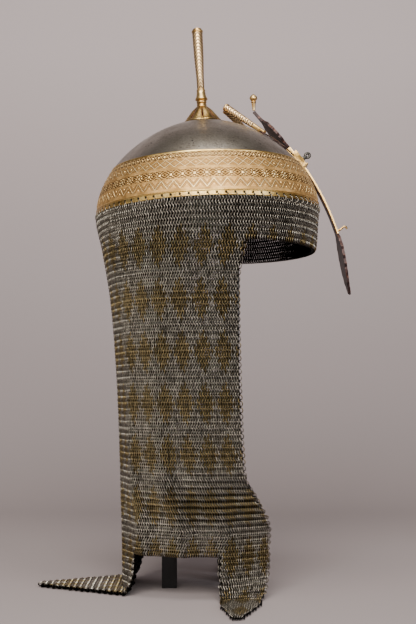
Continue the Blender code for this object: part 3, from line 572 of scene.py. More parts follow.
def ring_metal(name, dark, middle, light):
    """Drawn wire of the mail, with painted light: a painted highlight along each ring's crest and
    painted shade on its back half.
    """
    material, tree = new_material(name, 1.0, 0.32)
    tone = add_node(tree, "Attribute", result="Fac", attribute_name="ring_painted_light")
    tint = add_node(tree, "ValToRGB", {"Fac": tone},
                    stops=((0.0, dark), (0.55, middle), (1.0, light)))
    return give_finish(material, tint)


def grained(material, tree, size, detail, stops, strength=0.0, depth=0.0):
    """Colour a material by a noise of one size, which also roughens it where it has a depth."""
    place = add_node(tree, "TexCoord", result="Object")
    grain = add_node(tree, "TexNoise", {"Vector": place, "Scale": 1 / size, "Detail": detail})
    tint = add_node(tree, "ValToRGB", {"Fac": grain}, stops=stops)
    bump = None
    if depth:
        bump = add_node(tree, "Bump", {"Height": grain, "Strength": strength, "Distance": depth})
    return give_finish(material, tint, bump)


def dark_iron():
    """The nasal's inner face: bare iron gone a dark red brown."""
    return grained(*new_material("bare iron with red brown patina", 0.45, 0.5), 3.8 * MM, 5.0,
                   ((0.35, "#1e1212"), (0.55, "#3a2422"), (0.75, "#6d4a3c")), 0.3, 0.15 * MM)


def blackened_iron():
    """The screw: iron worn by hands, blackened, with a dull grey shine."""
    return grained(*new_material("blackened iron", 0.85, 0.45), 1.5 * MM, 3.0,
                   ((0.35, "#2a2826"), (0.65, "#57544f")))


def satin_paint():
    """Satin black paint on the stand's steel, with the faint orange peel of a sprayed coat."""
    return grained(*new_material("satin black paint", 0.0, 0.42), 1.4 * MM, 2.0,
                   ((0.3, "#0d0d0e"), (0.7, "#151516")), 0.1, 0.1 * MM)


def black_felt():
    """The pad's pressed wool felt: fine dark fibres and no shine."""
    return grained(*new_material("black wool felt", 0.0, 0.95, 0.3), 0.7 * MM, 4.0,
                   ((0.3, "#141414"), (0.7, "#2c2b2b")), 0.6, 0.3 * MM)


def seamless_paper():
    """Matt pale paper with painted shade: a little darker toward the floor."""
    material, tree = new_material("pale seamless paper", 0.0, 0.9)
    place = add_node(tree, "TexCoord", result="Object")
    height = add_node(tree, "SeparateXYZ", {"Vector": place}, "Z")
    # Painted shade: darkest on the floor, paling up the backdrop to 0.85 m
    tint = add_node(tree, "ValToRGB", {"Fac": height},
                    stops=((0.0, "#928888"), (0.26, "#9c9293"), (0.85, "#bfb3b4")))
    return give_finish(material, tint)


def read_table(rows, place, column):
    """A column of a table at a place, straight between its rows."""
    ordered = sorted(rows, key=lambda row: row[1])
    return float(np.interp(place, [row[1] for row in ordered], [row[column] for row in ordered]))


def read_smoothly(rows, place, column):
    """A column of a table at a place, on a smooth curve through its rows."""
    ordered = sorted(rows, key=lambda row: row[1])
    places = [row[1] for row in ordered]
    values = [row[column] for row in ordered]
    place = min(max(place, places[0]), places[-1])
    low = min(int(np.searchsorted(places, place, "right")) - 1, len(places) - 2)
    high = low + 1
    span = places[high] - places[low]
    part = (place - places[low]) / span
    slopes = []
    for here in (low, high):
        before, after = max(here - 1, 0), min(here + 1, len(places) - 1)
        slopes.append((values[after] - values[before]) / (places[after] - places[before]) * span)
    return (values[low] * (1 + 2 * part) * (1 - part) ** 2 + slopes[0] * part * (1 - part) ** 2
            + values[high] * part ** 2 * (3 - 2 * part) + slopes[1] * part ** 2 * (part - 1))


def skull_point(turn, part, offset=0.0):
    """A point of the skull's outside: part runs from the base circle, 0, to the crown, 1."""
    along = part * math.pi / 2
    radius = SKULL_RADIUS * max(math.cos(along), 0.0) ** (2 / SKULL_POWER)
    height = SKULL_HEIGHT * math.sin(along) ** (2 / SKULL_POWER)
    out = (radius / SKULL_RADIUS) ** (SKULL_POWER - 1) / SKULL_RADIUS
    up = (height / SKULL_HEIGHT) ** (SKULL_POWER - 1) / SKULL_HEIGHT
    length = math.hypot(out, up)
    radius += offset * out / length
    height += offset * up / length
    return Vector((radius * math.cos(turn), radius * math.sin(turn), height))


def skull_part(height):
    """The part of the meridian at which the skull's outside has this height."""
    return math.asin((height / SKULL_HEIGHT) ** (SKULL_POWER / 2)) * 2 / math.pi


def skull_place(turn, height, lift=0.0):
    """A frame on the skull: X round it, Y up its meridian, Z out."""
    part = skull_part(height)
    point = skull_point(turn, part)
    out = (skull_point(turn, part, MM) - point).normalized()
    around = Vector((-math.sin(turn), math.cos(turn), 0.0))
    rotation = Matrix((around, out.cross(around), out)).transposed().to_4x4()
    return Matrix.Translation(point + lift * out) @ rotation


def turned(profile, segments):
    """A closed shape spun about the Z axis from its radius and height points."""
    shape = bmesh.new()
    verts = [shape.verts.new((radius, 0.0, height)) for radius, height in profile]
    edges = [shape.edges.new(pair) for pair in zip(verts, verts[1:])]
    bmesh.ops.spin(shape, geom=verts + edges, cent=(0, 0, 0), axis=(0, 0, 1), angle=2 * math.pi,
                   steps=segments, use_merge=True, use_duplicate=False)
    bmesh.ops.remove_doubles(shape, verts=shape.verts, dist=0.002 * MM)
    return shape


def wire_ring(radius, wire, sides, wire_sides, wire_turn=0.0):
    """A ring about the Y axis: its wire's outline, turned about itself, spun round."""
    shape = bmesh.new()
    bmesh.ops.create_circle(
        shape, segments=wire_sides, radius=wire / 2,
        matrix=Matrix.Translation((radius, 0, 0)) @ Matrix.Rotation(wire_turn, 4, "Z"))
    bmesh.ops.spin(shape, geom=shape.verts[:] + shape.edges[:], cent=(0, 0, 0), axis=(0, 1, 0),
                   angle=2 * math.pi, steps=sides, use_merge=True, use_duplicate=False)
    bmesh.ops.recalc_face_normals(shape, faces=shape.faces)
    return shape


def wrap_uv(shape):
    """A UV map round the Z axis: U counts turns, V is the height in metres."""
    uv = shape.loops.layers.uv.new("UVMap")
    for face in shape.faces:
        centre = face.calc_center_median()
        middle = math.atan2(centre.y, centre.x)
        for loop in face.loops:
            point = loop.vert.co
            turn = math.atan2(point.y, point.x) if point.xy.length > 0.001 * MM else middle
            turn += 2 * math.pi * round((middle - turn) / (2 * math.pi))
            loop[uv].uv = (turn / (2 * math.pi) + 0.5, point.z)


def mapped_grid(columns, rows, place):
    """A grid whose point at U and V, each from 0 to 1, goes to the place the function gives."""
    shape = bmesh.new()
    bmesh.ops.create_grid(shape, x_segments=columns, y_segments=rows, size=0.5)
    uv = shape.loops.layers.uv.new("UVMap")
    for face in shape.faces:
        for loop in face.loops:
            loop[uv].uv = (loop.vert.co.x + 0.5, loop.vert.co.y + 0.5)
    for vert in shape.verts:
        vert.co = place(vert.co.x + 0.5, vert.co.y + 0.5)
    return shape


def add_wall(shape, outward, thickness):
    """Give an open sheet a wall behind the face that looks outward."""
    faces = shape.faces[:]
    bmesh.ops.recalc_face_normals(shape, faces=faces)
    if sum(face.normal.dot(outward(face.calc_center_median())) for face in faces) < 0:
        bmesh.ops.reverse_faces(shape, faces=faces)
    bmesh.ops.solidify(shape, geom=faces, thickness=thickness)
    bmesh.ops.recalc_face_normals(shape, faces=shape.faces)


def paint_faces(shape, choose):
    """Give each face the material whose number is chosen from its middle and its normal."""
    for face in shape.faces:
        face.material_index = choose(face.calc_center_median(), face.normal)


def add_object(name, data):
    """A mesh, light or camera as an object of the scene."""
    thing = bpy.data.objects.new(name, data)
    bpy.context.scene.collection.objects.link(thing)
    return thing


def finish_mesh(name, shape, *materials):
    """A bmesh as a smooth mesh with its materials."""
    data = bpy.data.meshes.new(name)
    shape.to_mesh(data)
    shape.free()
    for material in materials:
        data.materials.append(material)
    data.shade_smooth()
    return data


def add_piece(name, shape, materials, body, replaced=(), place=Matrix(), sharp=SHARP):
    """Make a bmesh a piece of the object: placed in its mesh, smooth, and riding on a body."""
    bmesh.ops.recalc_face_normals(shape, faces=shape.faces)
    shape.transform(place)
    data = finish_mesh(name, shape, *materials)
    data.set_sharp_from_angle(angle=math.radians(sharp))
    piece = add_object(name, data)
    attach(piece, body)
    if replaced:
        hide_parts(*replaced)
    return piece


def dress_node(name, material, bevel):
    """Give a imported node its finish, joined faces and softly broken edges."""
    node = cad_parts[name]
    node.data.materials.clear()
    node.data.materials.append(material)
    node.data.shade_smooth()
    weld = node.modifiers.new("weld", "WELD")
    weld.merge_threshold = 0.01 * MM
    edges = node.modifiers.new("broken edges", "BEVEL")
    edges.width = bevel
    edges.segments = 2
    edges.limit_method = "ANGLE"
    edges.angle_limit = math.radians(SHARP)
    edges.harden_normals = True
    return node


def rib_profile(height):
    """A rounded raised line on the skull's profile, from its upper edge down."""
    points = []
    for step in range(RIB_STEPS + 1):
        place = 1.0 - 2 * step / RIB_STEPS
        lift = BAND_RIB * math.cos(place * math.pi / 2)
        point = skull_point(0.0, skull_part(height + place * BAND_RIB_WIDTH / 2), lift)
        points.append((point.x, point.z))
    return points


def meridian(high, low, rows, offset=0.0):
    """Radius and height along the skull's meridian, from one height down to another."""
    top, bottom = skull_part(high), skull_part(low)
    points = []
    for row in range(rows + 1):
        point = skull_point(0.0, top + (bottom - top) * row / rows, offset)
        points.append((point.x if point.x > 0.01 * MM else 0.0, point.z))
    return points


def add_skull(steel, ground, bead):
    """The skull: polished crown, gilt band between two raised lines, and a row of holes."""
    rib = BAND_RIB_WIDTH / 2
    hole_top = HOLE_HEIGHT + HOLE_WIDTH / 2
    hole_foot = HOLE_HEIGHT - HOLE_WIDTH / 2
    clear = 1.6 * rib
    outside = meridian(SKULL_HEIGHT, BAND_TOP + 2 * rib, CROWN_STEPS) + rib_profile(BAND_TOP)
    outside += meridian(BAND_TOP - clear, BAND_BOTTOM + clear, BAND_STEPS)
    outside += rib_profile(BAND_BOTTOM)
    outside += [(SKULL_RADIUS, hole_top), (SKULL_RADIUS, hole_foot),
                (SKULL_RADIUS, RIM_CHAMFER - RIM_DROP), (SKULL_RADIUS - RIM_CHAMFER, -RIM_DROP)]
    inner = SKULL_RADIUS - SKULL_WALL
    inside = [(inner, -RIM_DROP), (inner, hole_foot), (inner, hole_top)]
    inside += meridian(SKULL_HEIGHT, GAP, INSIDE_STEPS, -SKULL_WALL)[::-1]
    steps = RIM_HOLES * STEPS_PER_HOLE
    shape = turned(outside + inside, steps)
    bmesh.ops.rotate(shape, verts=shape.verts, cent=(0, 0, 0),
                     matrix=Matrix.Rotation(-math.pi / steps, 3, "Z"))

    # Each hole takes away one face of the outside and one of the inside, and is walled between
    holes = {}
    for face in shape.faces:
        centre = face.calc_center_median()
        if abs(centre.z - HOLE_HEIGHT) < 0.1 * MM:
            step = round(math.atan2(centre.y, centre.x) / (2 * math.pi) * steps) % steps
            if step % STEPS_PER_HOLE == STEPS_PER_HOLE // 2:
                holes.setdefault(step, []).append(face)
    loops = [[edge for face in pair for edge in face.edges] for pair in holes.values()]
    bmesh.ops.delete(shape, geom=[face for pair in holes.values() for face in pair],
                     context="FACES_ONLY")
    for loop in loops:
        bmesh.ops.bridge_loops(shape, edges=loop)

    def choose(centre, _):
        """Steel inside and on the crown, the raised lines' gilding, or the band's."""
        skin = skull_point(0.0, skull_part(max(centre.z, 0.0)), -SKULL_WALL / 3).x
        if centre.xy.length < skin or centre.z > BAND_TOP + rib:
            return 0
        return 2 if abs(centre.z - BAND_TOP) < rib or centre.z < BAND_BOTTOM + rib else 1

    wrap_uv(shape)
    paint_faces(shape, choose)
    add_piece("skull", shape, (steel, ground, bead), "helmet", ["bowl"], HELMET)


def add_stamp(shape, turn, height, half_width, half_height, sides, angle, rise):
    """One low raised figure on the skull: a cone cut flat, stretched and turned."""
    bar = sides == 4 and angle != 0
    spread = math.sqrt(2) if bar else 1.0
    size = Matrix.Diagonal((half_width * spread, half_height * spread, rise, 1.0))
    corner = Matrix.Rotation(math.pi / 4 if bar else 0.0, 4, "Z")
    place = (skull_place(turn, height, -STAMP_SINK)
             @ Matrix.Rotation(math.radians(angle), 4, "Z") @ size
             @ Matrix.Translation((0, 0, 0.5)) @ corner)
    bmesh.ops.create_cone(shape, cap_ends=True, segments=sides, radius1=1.0, radius2=STAMP_TOP,
                          depth=1.0, matrix=place)


def add_band_relief(gilt):
    """The band's raised ornament, in rows of small repeated figures."""
    shape = bmesh.new()
    for _, height, count, first, half_width, half_height, sides, angle, rise in BAND_STAMPS:
        for number in range(count):
            turn = (number + first) * 2 * math.pi / count
            add_stamp(shape, turn, height, half_width, half_height, sides, angle, rise)
    for number in range(ROSETTES):
        for petal in range(ROSETTE_PETALS):
            way = petal * 2 * math.pi / ROSETTE_PETALS
            turn = number * 2 * math.pi / ROSETTES + ROSETTE_REACH * math.cos(way) / SKULL_RADIUS
            add_stamp(shape, turn, ROSETTE_HEIGHT + ROSETTE_REACH * math.sin(way), ROSETTE_PETAL,
                      ROSETTE_PETAL, ROSETTE_PETAL_SIDES, 0, ROSETTE_PETAL / 3)
    add_piece("band_relief", shape, (gilt,), "helmet", place=HELMET)


def add_spike_foot(gilt, red):
    """The fluted foot: eight petals with sunk lines between them."""
    last = len(PETAL_RINGS) - 1

    def place(across, along):
        """A point round the petals and along their profile."""
        row = min(int(along * last), last - 1)
        part = along * last - row
        low, high = PETAL_RINGS[row], PETAL_RINGS[row + 1]
        height, radius, groove = (low[n] + part * (high[n] - low[n]) for n in (1, 2, 3))
        turn = across * 2 * math.pi
        fullness = abs(math.sin(turn * PETALS / 2)) ** PETAL_FULLNESS
        reach = radius * (1.0 - groove * (1.0 - fullness))
        return Vector((reach * math.cos(turn), reach * math.sin(turn), height))

    shape = mapped_grid(PETALS * PETAL_STEPS, PETAL_ROWS * last, place)
    bmesh.ops.remove_doubles(shape, verts=shape.verts, dist=0.01 * MM)
    bmesh.ops.holes_fill(shape, edges=shape.edges)
    paint_faces(shape, lambda centre, _: LAC_FOOT < centre.z < LAC_TOP and LAC_WIDTH > abs(
        math.sin(math.atan2(centre.y, centre.x) * PETALS / 2)))
    add_piece("spike_foot", shape, (gilt, red), "helmet", ["finial_base"], SPIKE, 50.0)


def add_spike_socket(gilt, chevrons):
    """The baluster and the long hollow plume socket, cut with herringbone lines."""
    shape = turned([(radius, height) for _, height, radius in SOCKET_TURNS], SOCKET_SIDES)
    wrap_uv(shape)
    paint_faces(shape, lambda centre, _: (TUBE_LOW < centre.z < TUBE_HIGH
                                          and centre.xy.length > TUBE_SKIN))
    add_piece("spike_socket", shape, (gilt, chevrons), "helmet", ["finial_socket"],
              SPIKE, 50.0)


def add_plume_holder(name, side, gilt, chevrons, iron):
    """A tapered tube cut with herringbone, on a wavy leaf plate that follows the skull."""
    root = skull_point(side * HOLDER_ROOT_TURN, skull_part(HOLDER_ROOT_HEIGHT),
                       GAP + LEAF_PLATE_THICKNESS)
    foot = skull_point(side * LEAF_PLATE_TURN, skull_part(LEAF_PLATE_HEIGHT))
    middle_turn = side * (HOLDER_ROOT_TURN + LEAF_PLATE_TURN) / 2
    middle_part = skull_part((HOLDER_ROOT_HEIGHT + LEAF_PLATE_HEIGHT) / 2)
    middle = skull_point(middle_turn, middle_part)
    out = (skull_point(middle_turn, middle_part, MM) - middle).normalized()
    along = (root - foot - (root - foot).dot(out) * out).normalized()
    across = out.cross(along)
    half_length = (root - foot).length / 2 + LEAF_PLATE_OVERLAP

    def on_skull(point):
        """Slide a point along the plate's own normal until it is just off the skull.

        The level at which the skull's surface lies is found by halving the way to it.
        """
        low, high = -12.0 * MM, 12.0 * MM
        for _ in range(30):
            level = (low + high) / 2
            here = point + level * out
            bulk = ((here.xy.length / SKULL_RADIUS) ** SKULL_POWER
                    + (max(here.z, 0.0) / SKULL_HEIGHT) ** SKULL_POWER)
            low, high = (level, high) if bulk < 1.0 else (low, level)
        return point + (level + GAP + LEAF_PLATE_THICKNESS) * out

    def place(sideways, lengthways):
        """A point of the leaf plate."""
        swell = max(math.sin(math.pi * lengthways), 0.0) ** LEAF_PLATE_FULLNESS
        wave = LEAF_PLATE_WAVE * math.cos(2 * math.pi * LEAF_PLATE_WAVES * lengthways)
        width = max((LEAF_PLATE_HALF_WIDTH - wave) * swell, LEAF_PLATE_TIP)
        point = middle + (2 * lengthways - 1) * half_length * along
        return on_skull(point + (2 * sideways - 1) * width * across)

    # Only the plate's outside is gilt
    plate = mapped_grid(LEAF_PLATE_COLUMNS, LEAF_PLATE_ROWS, place)
    add_wall(plate, lambda point: out, LEAF_PLATE_THICKNESS)
    paint_faces(plate, lambda _, normal: normal.dot(out) < 0.6)
    add_piece(name + "_plate", plate, (gilt, iron), "helmet", place=HELMET, sharp=50.0)

    mouth = Vector((HOLDER_MOUTH.x, side * HOLDER_MOUTH.y, HOLDER_MOUTH.z))
    length = (mouth - root).length
    # Radius and height of each turn: up the bore, over the lip, down the tube and under its root
    profile = (
        (0.0, length - HOLDER_BORE_DEPTH), (1.9 * MM, length - HOLDER_BORE_DEPTH),
        (2.9 * MM, length), (HOLDER_MOUTH_RADIUS - 0.2 * MM, length),
        (HOLDER_MOUTH_RADIUS, length - 0.3 * MM), (HOLDER_MOUTH_RADIUS, length - 1.6 * MM),
        (HOLDER_MOUTH_RADIUS - 0.25 * MM, length - 1.9 * MM),
        (HOLDER_ROOT_RADIUS + 0.3 * MM, 0.22 * length), (HOLDER_ROOT_RADIUS, 0.12 * length),
        (HOLDER_ROOT_RADIUS, -1.0 * MM), (HOLDER_ROOT_RADIUS, -3.0 * MM), (0.0, -3.0 * MM))
    tube = turned(profile, HOLDER_SIDES)
    wrap_uv(tube)
    # The herringbone covers the outside from a fifth of the tube's length up to its lip
    paint_faces(tube, lambda centre, _: (
        0.2 * length < centre.z < length - 1.7 * MM
        and centre.xy.length > HOLDER_ROOT_RADIUS + 1.1 * MM * centre.z / length))
    aim = (HELMET @ Matrix.Translation(root)
           @ (mouth - root).to_track_quat("Z", "X").to_matrix().to_4x4())
    replaced = "plume_holder_right" if side < 0 else "plume_holder_left"
    add_piece(name, tube, (gilt, chevrons), "helmet", [replaced], aim, 50.0)


def arc_point(radius, angle, side=0.0):
    """A point in the nasal arc's own frame, whose origin is the arc's centre."""
    return Vector((radius * math.cos(angle), side, radius * math.sin(angle)))


def leaf_shape(angle):
    """The nasal's half width, with its leaves' small teeth, and its lift off the arc."""
    for table in (UPPER_LEAF, LOWER_LEAF):
        top, bottom = table[0][1], table[-1][1]
        if bottom <= angle <= top:
            width = read_table(table, angle, 2)
            if width > BAR_HALF_WIDTH + TOOTH_DEPTH:
                saw = ((top - angle) / (top - bottom) * LEAF_TEETH) % 1.0
                width -= TOOTH_DEPTH * (1.0 - saw / TOOTH_LEAN if saw < TOOTH_LEAN
                                        else (saw - TOOTH_LEAN) / (1.0 - TOOTH_LEAN))
            return width, read_table(table, angle, 3)
    return BAR_HALF_WIDTH, 0.0


def add_nasal(gilt, edge_shade_gilt, iron):
    """The sliding nasal: a bar between two leaves, gilt outside and dark inside, and its bud."""
    top, bottom = UPPER_LEAF[0][1], LOWER_LEAF[-1][1]

    def place(sideways, lengthways):
        """A point across the nasal and down its arc."""
        angle = top + (bottom - top) * lengthways
        width, lift = leaf_shape(angle)
        return arc_point(ARC_RADIUS + lift + NASAL_THICKNESS / 2, math.radians(angle),
                         (2 * sideways - 1) * width)

    def choose(centre, normal):
        """Gilt outside and bare iron inside; a leaf's edges are bare and the bar's have painted
        shade on their inner half.
        """
        angle = math.degrees(math.atan2(centre.z, centre.x))
        on_leaf = angle > UPPER_LEAF[-1][1] or angle < LOWER_LEAF[0][1]
        if normal.dot(centre.normalized()) < (0.5 if on_leaf else -0.5):
            return 1
        return 0 if on_leaf else 2

    shape = mapped_grid(NASAL_COLUMNS, NASAL_ROWS, place)
    add_wall(shape, lambda point: point, NASAL_THICKNESS)
    paint_faces(shape, choose)
    add_piece("nasal_blade", shape, (gilt, iron, edge_shade_gilt), "nasal", ["nasal_bar"],
              NASAL, 40.0)

    _, angle, _, lift = UPPER_LEAF[0]
    seat = arc_point(ARC_RADIUS + lift, math.radians(angle))
    seat.z += NASAL_THICKNESS / 2 + GAP
    bud = turned([(radius, height) for _, height, radius in BUD_TURNS], BUD_SIDES)
    add_piece("nasal_bud", bud, (gilt,), "nasal", ["nasal_finial"],
              NASAL @ Matrix.Translation(seat), 50.0)


def mail_outline(height, turn):
    """A point of the mail's outline on the wearer's right: turn is 0 at the front, pi behind."""
    back, front, side, power = (read_smoothly(MAIL_LEVELS, height, column)
                                for column in (2, 3, 4, 5))
    flat = np.cos(turn)
    deep = np.clip(np.sin(turn), 0.0, 1.0)
    x = (front + back) / 2 + (front - back) / 2 * np.sign(flat) * np.abs(flat) ** (2 / power)
    return np.stack([x, -side * deep ** (2 / power)], axis=-1)


def even_path(points):
    """The same line with its points at even lengths, and its length."""
    steps = np.linalg.norm(np.diff(points, axis=0), axis=1)
    lengths = np.concatenate(([0.0], np.cumsum(steps)))
    wanted = np.linspace(0.0, lengths[-1], PATH_STEPS + 1)
    even = [np.interp(wanted, lengths, points[:, axis]) for axis in range(points.shape[1])]
    return np.stack(even, axis=1), lengths[-1]


def outline_from_back(height, edge_x):
    """Points of the mail's outline from the back centre forward to an x, at even lengths."""
    points = mail_outline(height, np.linspace(math.pi, 0.0, OUTLINE_STEPS))
    return even_path(points[points[:, 0] <= edge_x])


def at_height(flat, height):
    """A row of flat points at one height or at a height each."""
    return np.column_stack([flat, np.full(len(flat), height)])


def wall_row(distance):
    """The mail's row at a distance below the rim, from the back forward: its path and pitch.

    The fringe's rows run right round to the front and lean with the rim.
    """
    level = MAIL_TOP - distance
    if level > FRINGE_FOOT:
        points, length = outline_from_back(level, math.inf)
        straight = (level - FRINGE_FOOT) / (MAIL_TOP - FRINGE_FOOT)
        rise = points[:, 0] * math.tan(LEAN_BACK) * straight
        return at_height(points, level + rise), length, length / FRINGE_COLUMNS
    points, length = outline_from_back(level, read_smoothly(FACE_EDGE, level, 2))
    _, plain_length = outline_from_back(level, read_smoothly(FACE_EDGE, max(level, FLARE_TOP), 2))
    growth = (1.0 - (level - HEM_HEIGHT) / (FRINGE_FOOT - HEM_HEIGHT)) ** FOLD_GROWTH
    part = np.linspace(1.0, 0.0, len(points))
    along = np.gradient(points, axis=0)
    along /= np.linalg.norm(along, axis=1)[:, None]
    outward = np.stack([along[:, 1], -along[:, 0]], axis=1)
    fade = np.sqrt(np.clip(np.sin(math.pi * part), 0.0, 1.0))
    push = FOLD_DEPTH * growth * fade * np.cos(2 * math.pi * FOLDS * part)
    points = at_height(points + outward * push[:, None], level)
    return points, length, plain_length / WALL_COLUMNS


def smooth_rows(rows, steps):
    """More rows between the given ones, on a smooth curve through them."""
    dense = []
    for here in range(len(rows) - 1):
        first, second = rows[here], rows[here + 1]
        before = rows[max(here - 1, 0)]
        after = rows[min(here + 2, len(rows) - 1)]
        for step in range(steps):
            part = step / steps
            dense.append(0.5 * (2 * first + (second - before) * part
                                + (2 * before - 5 * first + 4 * second - after) * part ** 2
                                + (3 * first - before - 3 * second + after) * part ** 3))
    dense.append(rows[-1])
    return np.array(dense)


def lappet_sheet(lappet, hem):
    """A lappet's rows of points from the hem out to its tip, and each row's distance down."""
    rear, front, tip, straight, tip_width = lappet
    fold = np.linspace(rear, front, len(hem))
    centre = np.array((rear + front) / 2)
    rows = [hem]
    for _, height, out in LAPPET_HANG[1:]:
        flat = hem[:, :2] * (1 - out) + fold * out
        rows.append(at_height(flat, height))
    for step in range(1, FLOOR_ROWS + 1):
        part = step / FLOOR_ROWS
        taper = max(part - straight, 0.0) / (1.0 - straight)
        width = 1.0 - taper * (1.0 - tip_width)
        flat = centre * (1 - part) + np.array(tip) * part + (fold - centre) * width
        rows.append(at_height(flat, LAPPET_HANG[-1][1]))
    rows = smooth_rows(np.array(rows), LAPPET_STEPS)
    middle = rows[:, len(hem) // 2]
    steps = np.linalg.norm(np.diff(middle, axis=0), axis=1)
    return rows, np.concatenate(([0.0], np.cumsum(steps)))


def row_between(rows, distances, distance):
    """The row at a distance down a lappet."""
    high = int(np.clip(np.searchsorted(distances, distance), 1, len(rows) - 1))
    part = (distance - distances[high - 1]) / (distances[high] - distances[high - 1])
    return rows[high - 1] * (1 - part) + rows[high] * part


def ring_places(path, below, positions):
    """Where rings at positions along a row lie, their row's way and the way down."""
    index = np.clip(positions, 0.0, 1.0 - 1e-9) * (len(path) - 1)
    low = index.astype(int)
    part = (index - low)[:, None]
    place = path[low] * (1 - part) + path[low + 1] * part
    lower = below[low] * (1 - part) + below[low + 1] * part
    return place, path[low + 1] - path[low], lower - place


def lay_rings():
    """Every ring of the mail: its place, its row's way, the way down, its column and its row."""
    rings = []

    def lay(path, below, positions, columns, row, sides=(1, -1)):
        """Lay a row as it is, and mirrored for side -1, with the back's middle column just once."""
        place, along, down = ring_places(path, below, positions)
        for side in sides:
            turned_over = np.array((1, side, 1))
            kept = columns > 0 if side < 0 else np.full(len(columns), True)
            rings.append(np.column_stack([
                place * turned_over, along * turned_over * side, down * turned_over,
                columns * side, np.full(len(columns), row)])[kept])

    row = 0
    while True:
        distance = (row + FIRST_ROW) * ROW_PITCH
        level = MAIL_TOP - distance
        if level < HEM_HEIGHT:
            break
        path, length, pitch = wall_row(distance)
        below, _, _ = wall_row(distance + LOOK_BELOW)
        if level > FRINGE_FOOT >= level - LOOK_BELOW:
            above, _, _ = wall_row(distance - LOOK_BELOW)
            below = 2 * path - above
        start = 0.5 * (row % 2)
        last = FRINGE_COLUMNS if level > FRINGE_FOOT else length / pitch - EDGE_COLUMNS
        columns = np.arange(start, last + 0.01, 1.0)
        lay(path, below, columns * pitch / length, columns, row)
        row += 1

    hem, length, pitch = wall_row(MAIL_TOP - HEM_HEIGHT)
    first_distance = (row + FIRST_ROW) * ROW_PITCH - (MAIL_TOP - HEM_HEIGHT)
    share = int(PATH_STEPS * LAPPET_SHARE)
    side_hem = hem[-share - 1:]
    back_half = hem[:share + 1]
    back_hem = np.concatenate([(back_half * (1, -1, 1))[::-1], back_half[1:]])
    side_middle = length * (1 - LAPPET_SHARE / 2) / pitch
    for lappet, top_row, middle_column, sides in (
            (SIDE_LAPPET, side_hem, side_middle, (1, -1)), (BACK_LAPPET, back_hem, 0.0, (1,))):
        rows, distances = lappet_sheet(lappet, top_row)
        for number in range(int((distances[-1] - first_distance) / ROW_PITCH) + 1):
            distance = first_distance + number * ROW_PITCH
            path, width = even_path(row_between(rows, distances, distance))
            below, _ = even_path(row_between(rows, distances,
                                             min(distance + LOOK_BELOW, distances[-1])))
            if np.allclose(path, below):
                continue
            start = 0.5 * ((row + number) % 2)
            half = width / 2 / pitch
            low = math.ceil(middle_column - half - start) + start
            columns = np.arange(low, middle_column + half, 1.0)
            positions = ((columns - middle_column) * pitch + width / 2) / width
            lay(path, below, positions, columns, row + number, sides)
    return np.concatenate(rings)


def ring_template():
    """One ring of the mail about the Y axis, as arrays of points and faces."""
    shape = wire_ring(RING_RADIUS, RING_WIRE, RING_SIDES, WIRE_SIDES, -math.pi / 2)
    shape.verts.index_update()
    points = np.array([vert.co for vert in shape.verts])
    faces = np.array([[vert.index for vert in face.verts] for face in shape.faces])
    shape.free()
    return points, faces


def unit(vectors):
    """Each vector at length 1."""
    return vectors / np.linalg.norm(vectors, axis=1)[:, None]


def in_lozenge(columns, rows):
    """Whether a ring belongs to one of the brass lozenges."""
    across = columns - LOZENGE_FIRST_COLUMN + LOZENGE_COLUMNS / 2
    across = np.abs(across % LOZENGE_COLUMNS - LOZENGE_COLUMNS / 2)
    below = rows - LOZENGE_FIRST_ROW + LOZENGE_ROWS / 2
    down = np.abs(below % LOZENGE_ROWS - LOZENGE_ROWS / 2)
    return (across / LOZENGE_HALF_COLUMNS + down / LOZENGE_HALF_ROWS < 1.0) & (below >= 0)


def set_painted_light(data, values):
    """The painted light and shade at each point of a mesh of rings, for the ring metals to read."""
    tones = data.attributes.new("ring_painted_light", "FLOAT", "POINT")
    tones.data.foreach_set("value", values)


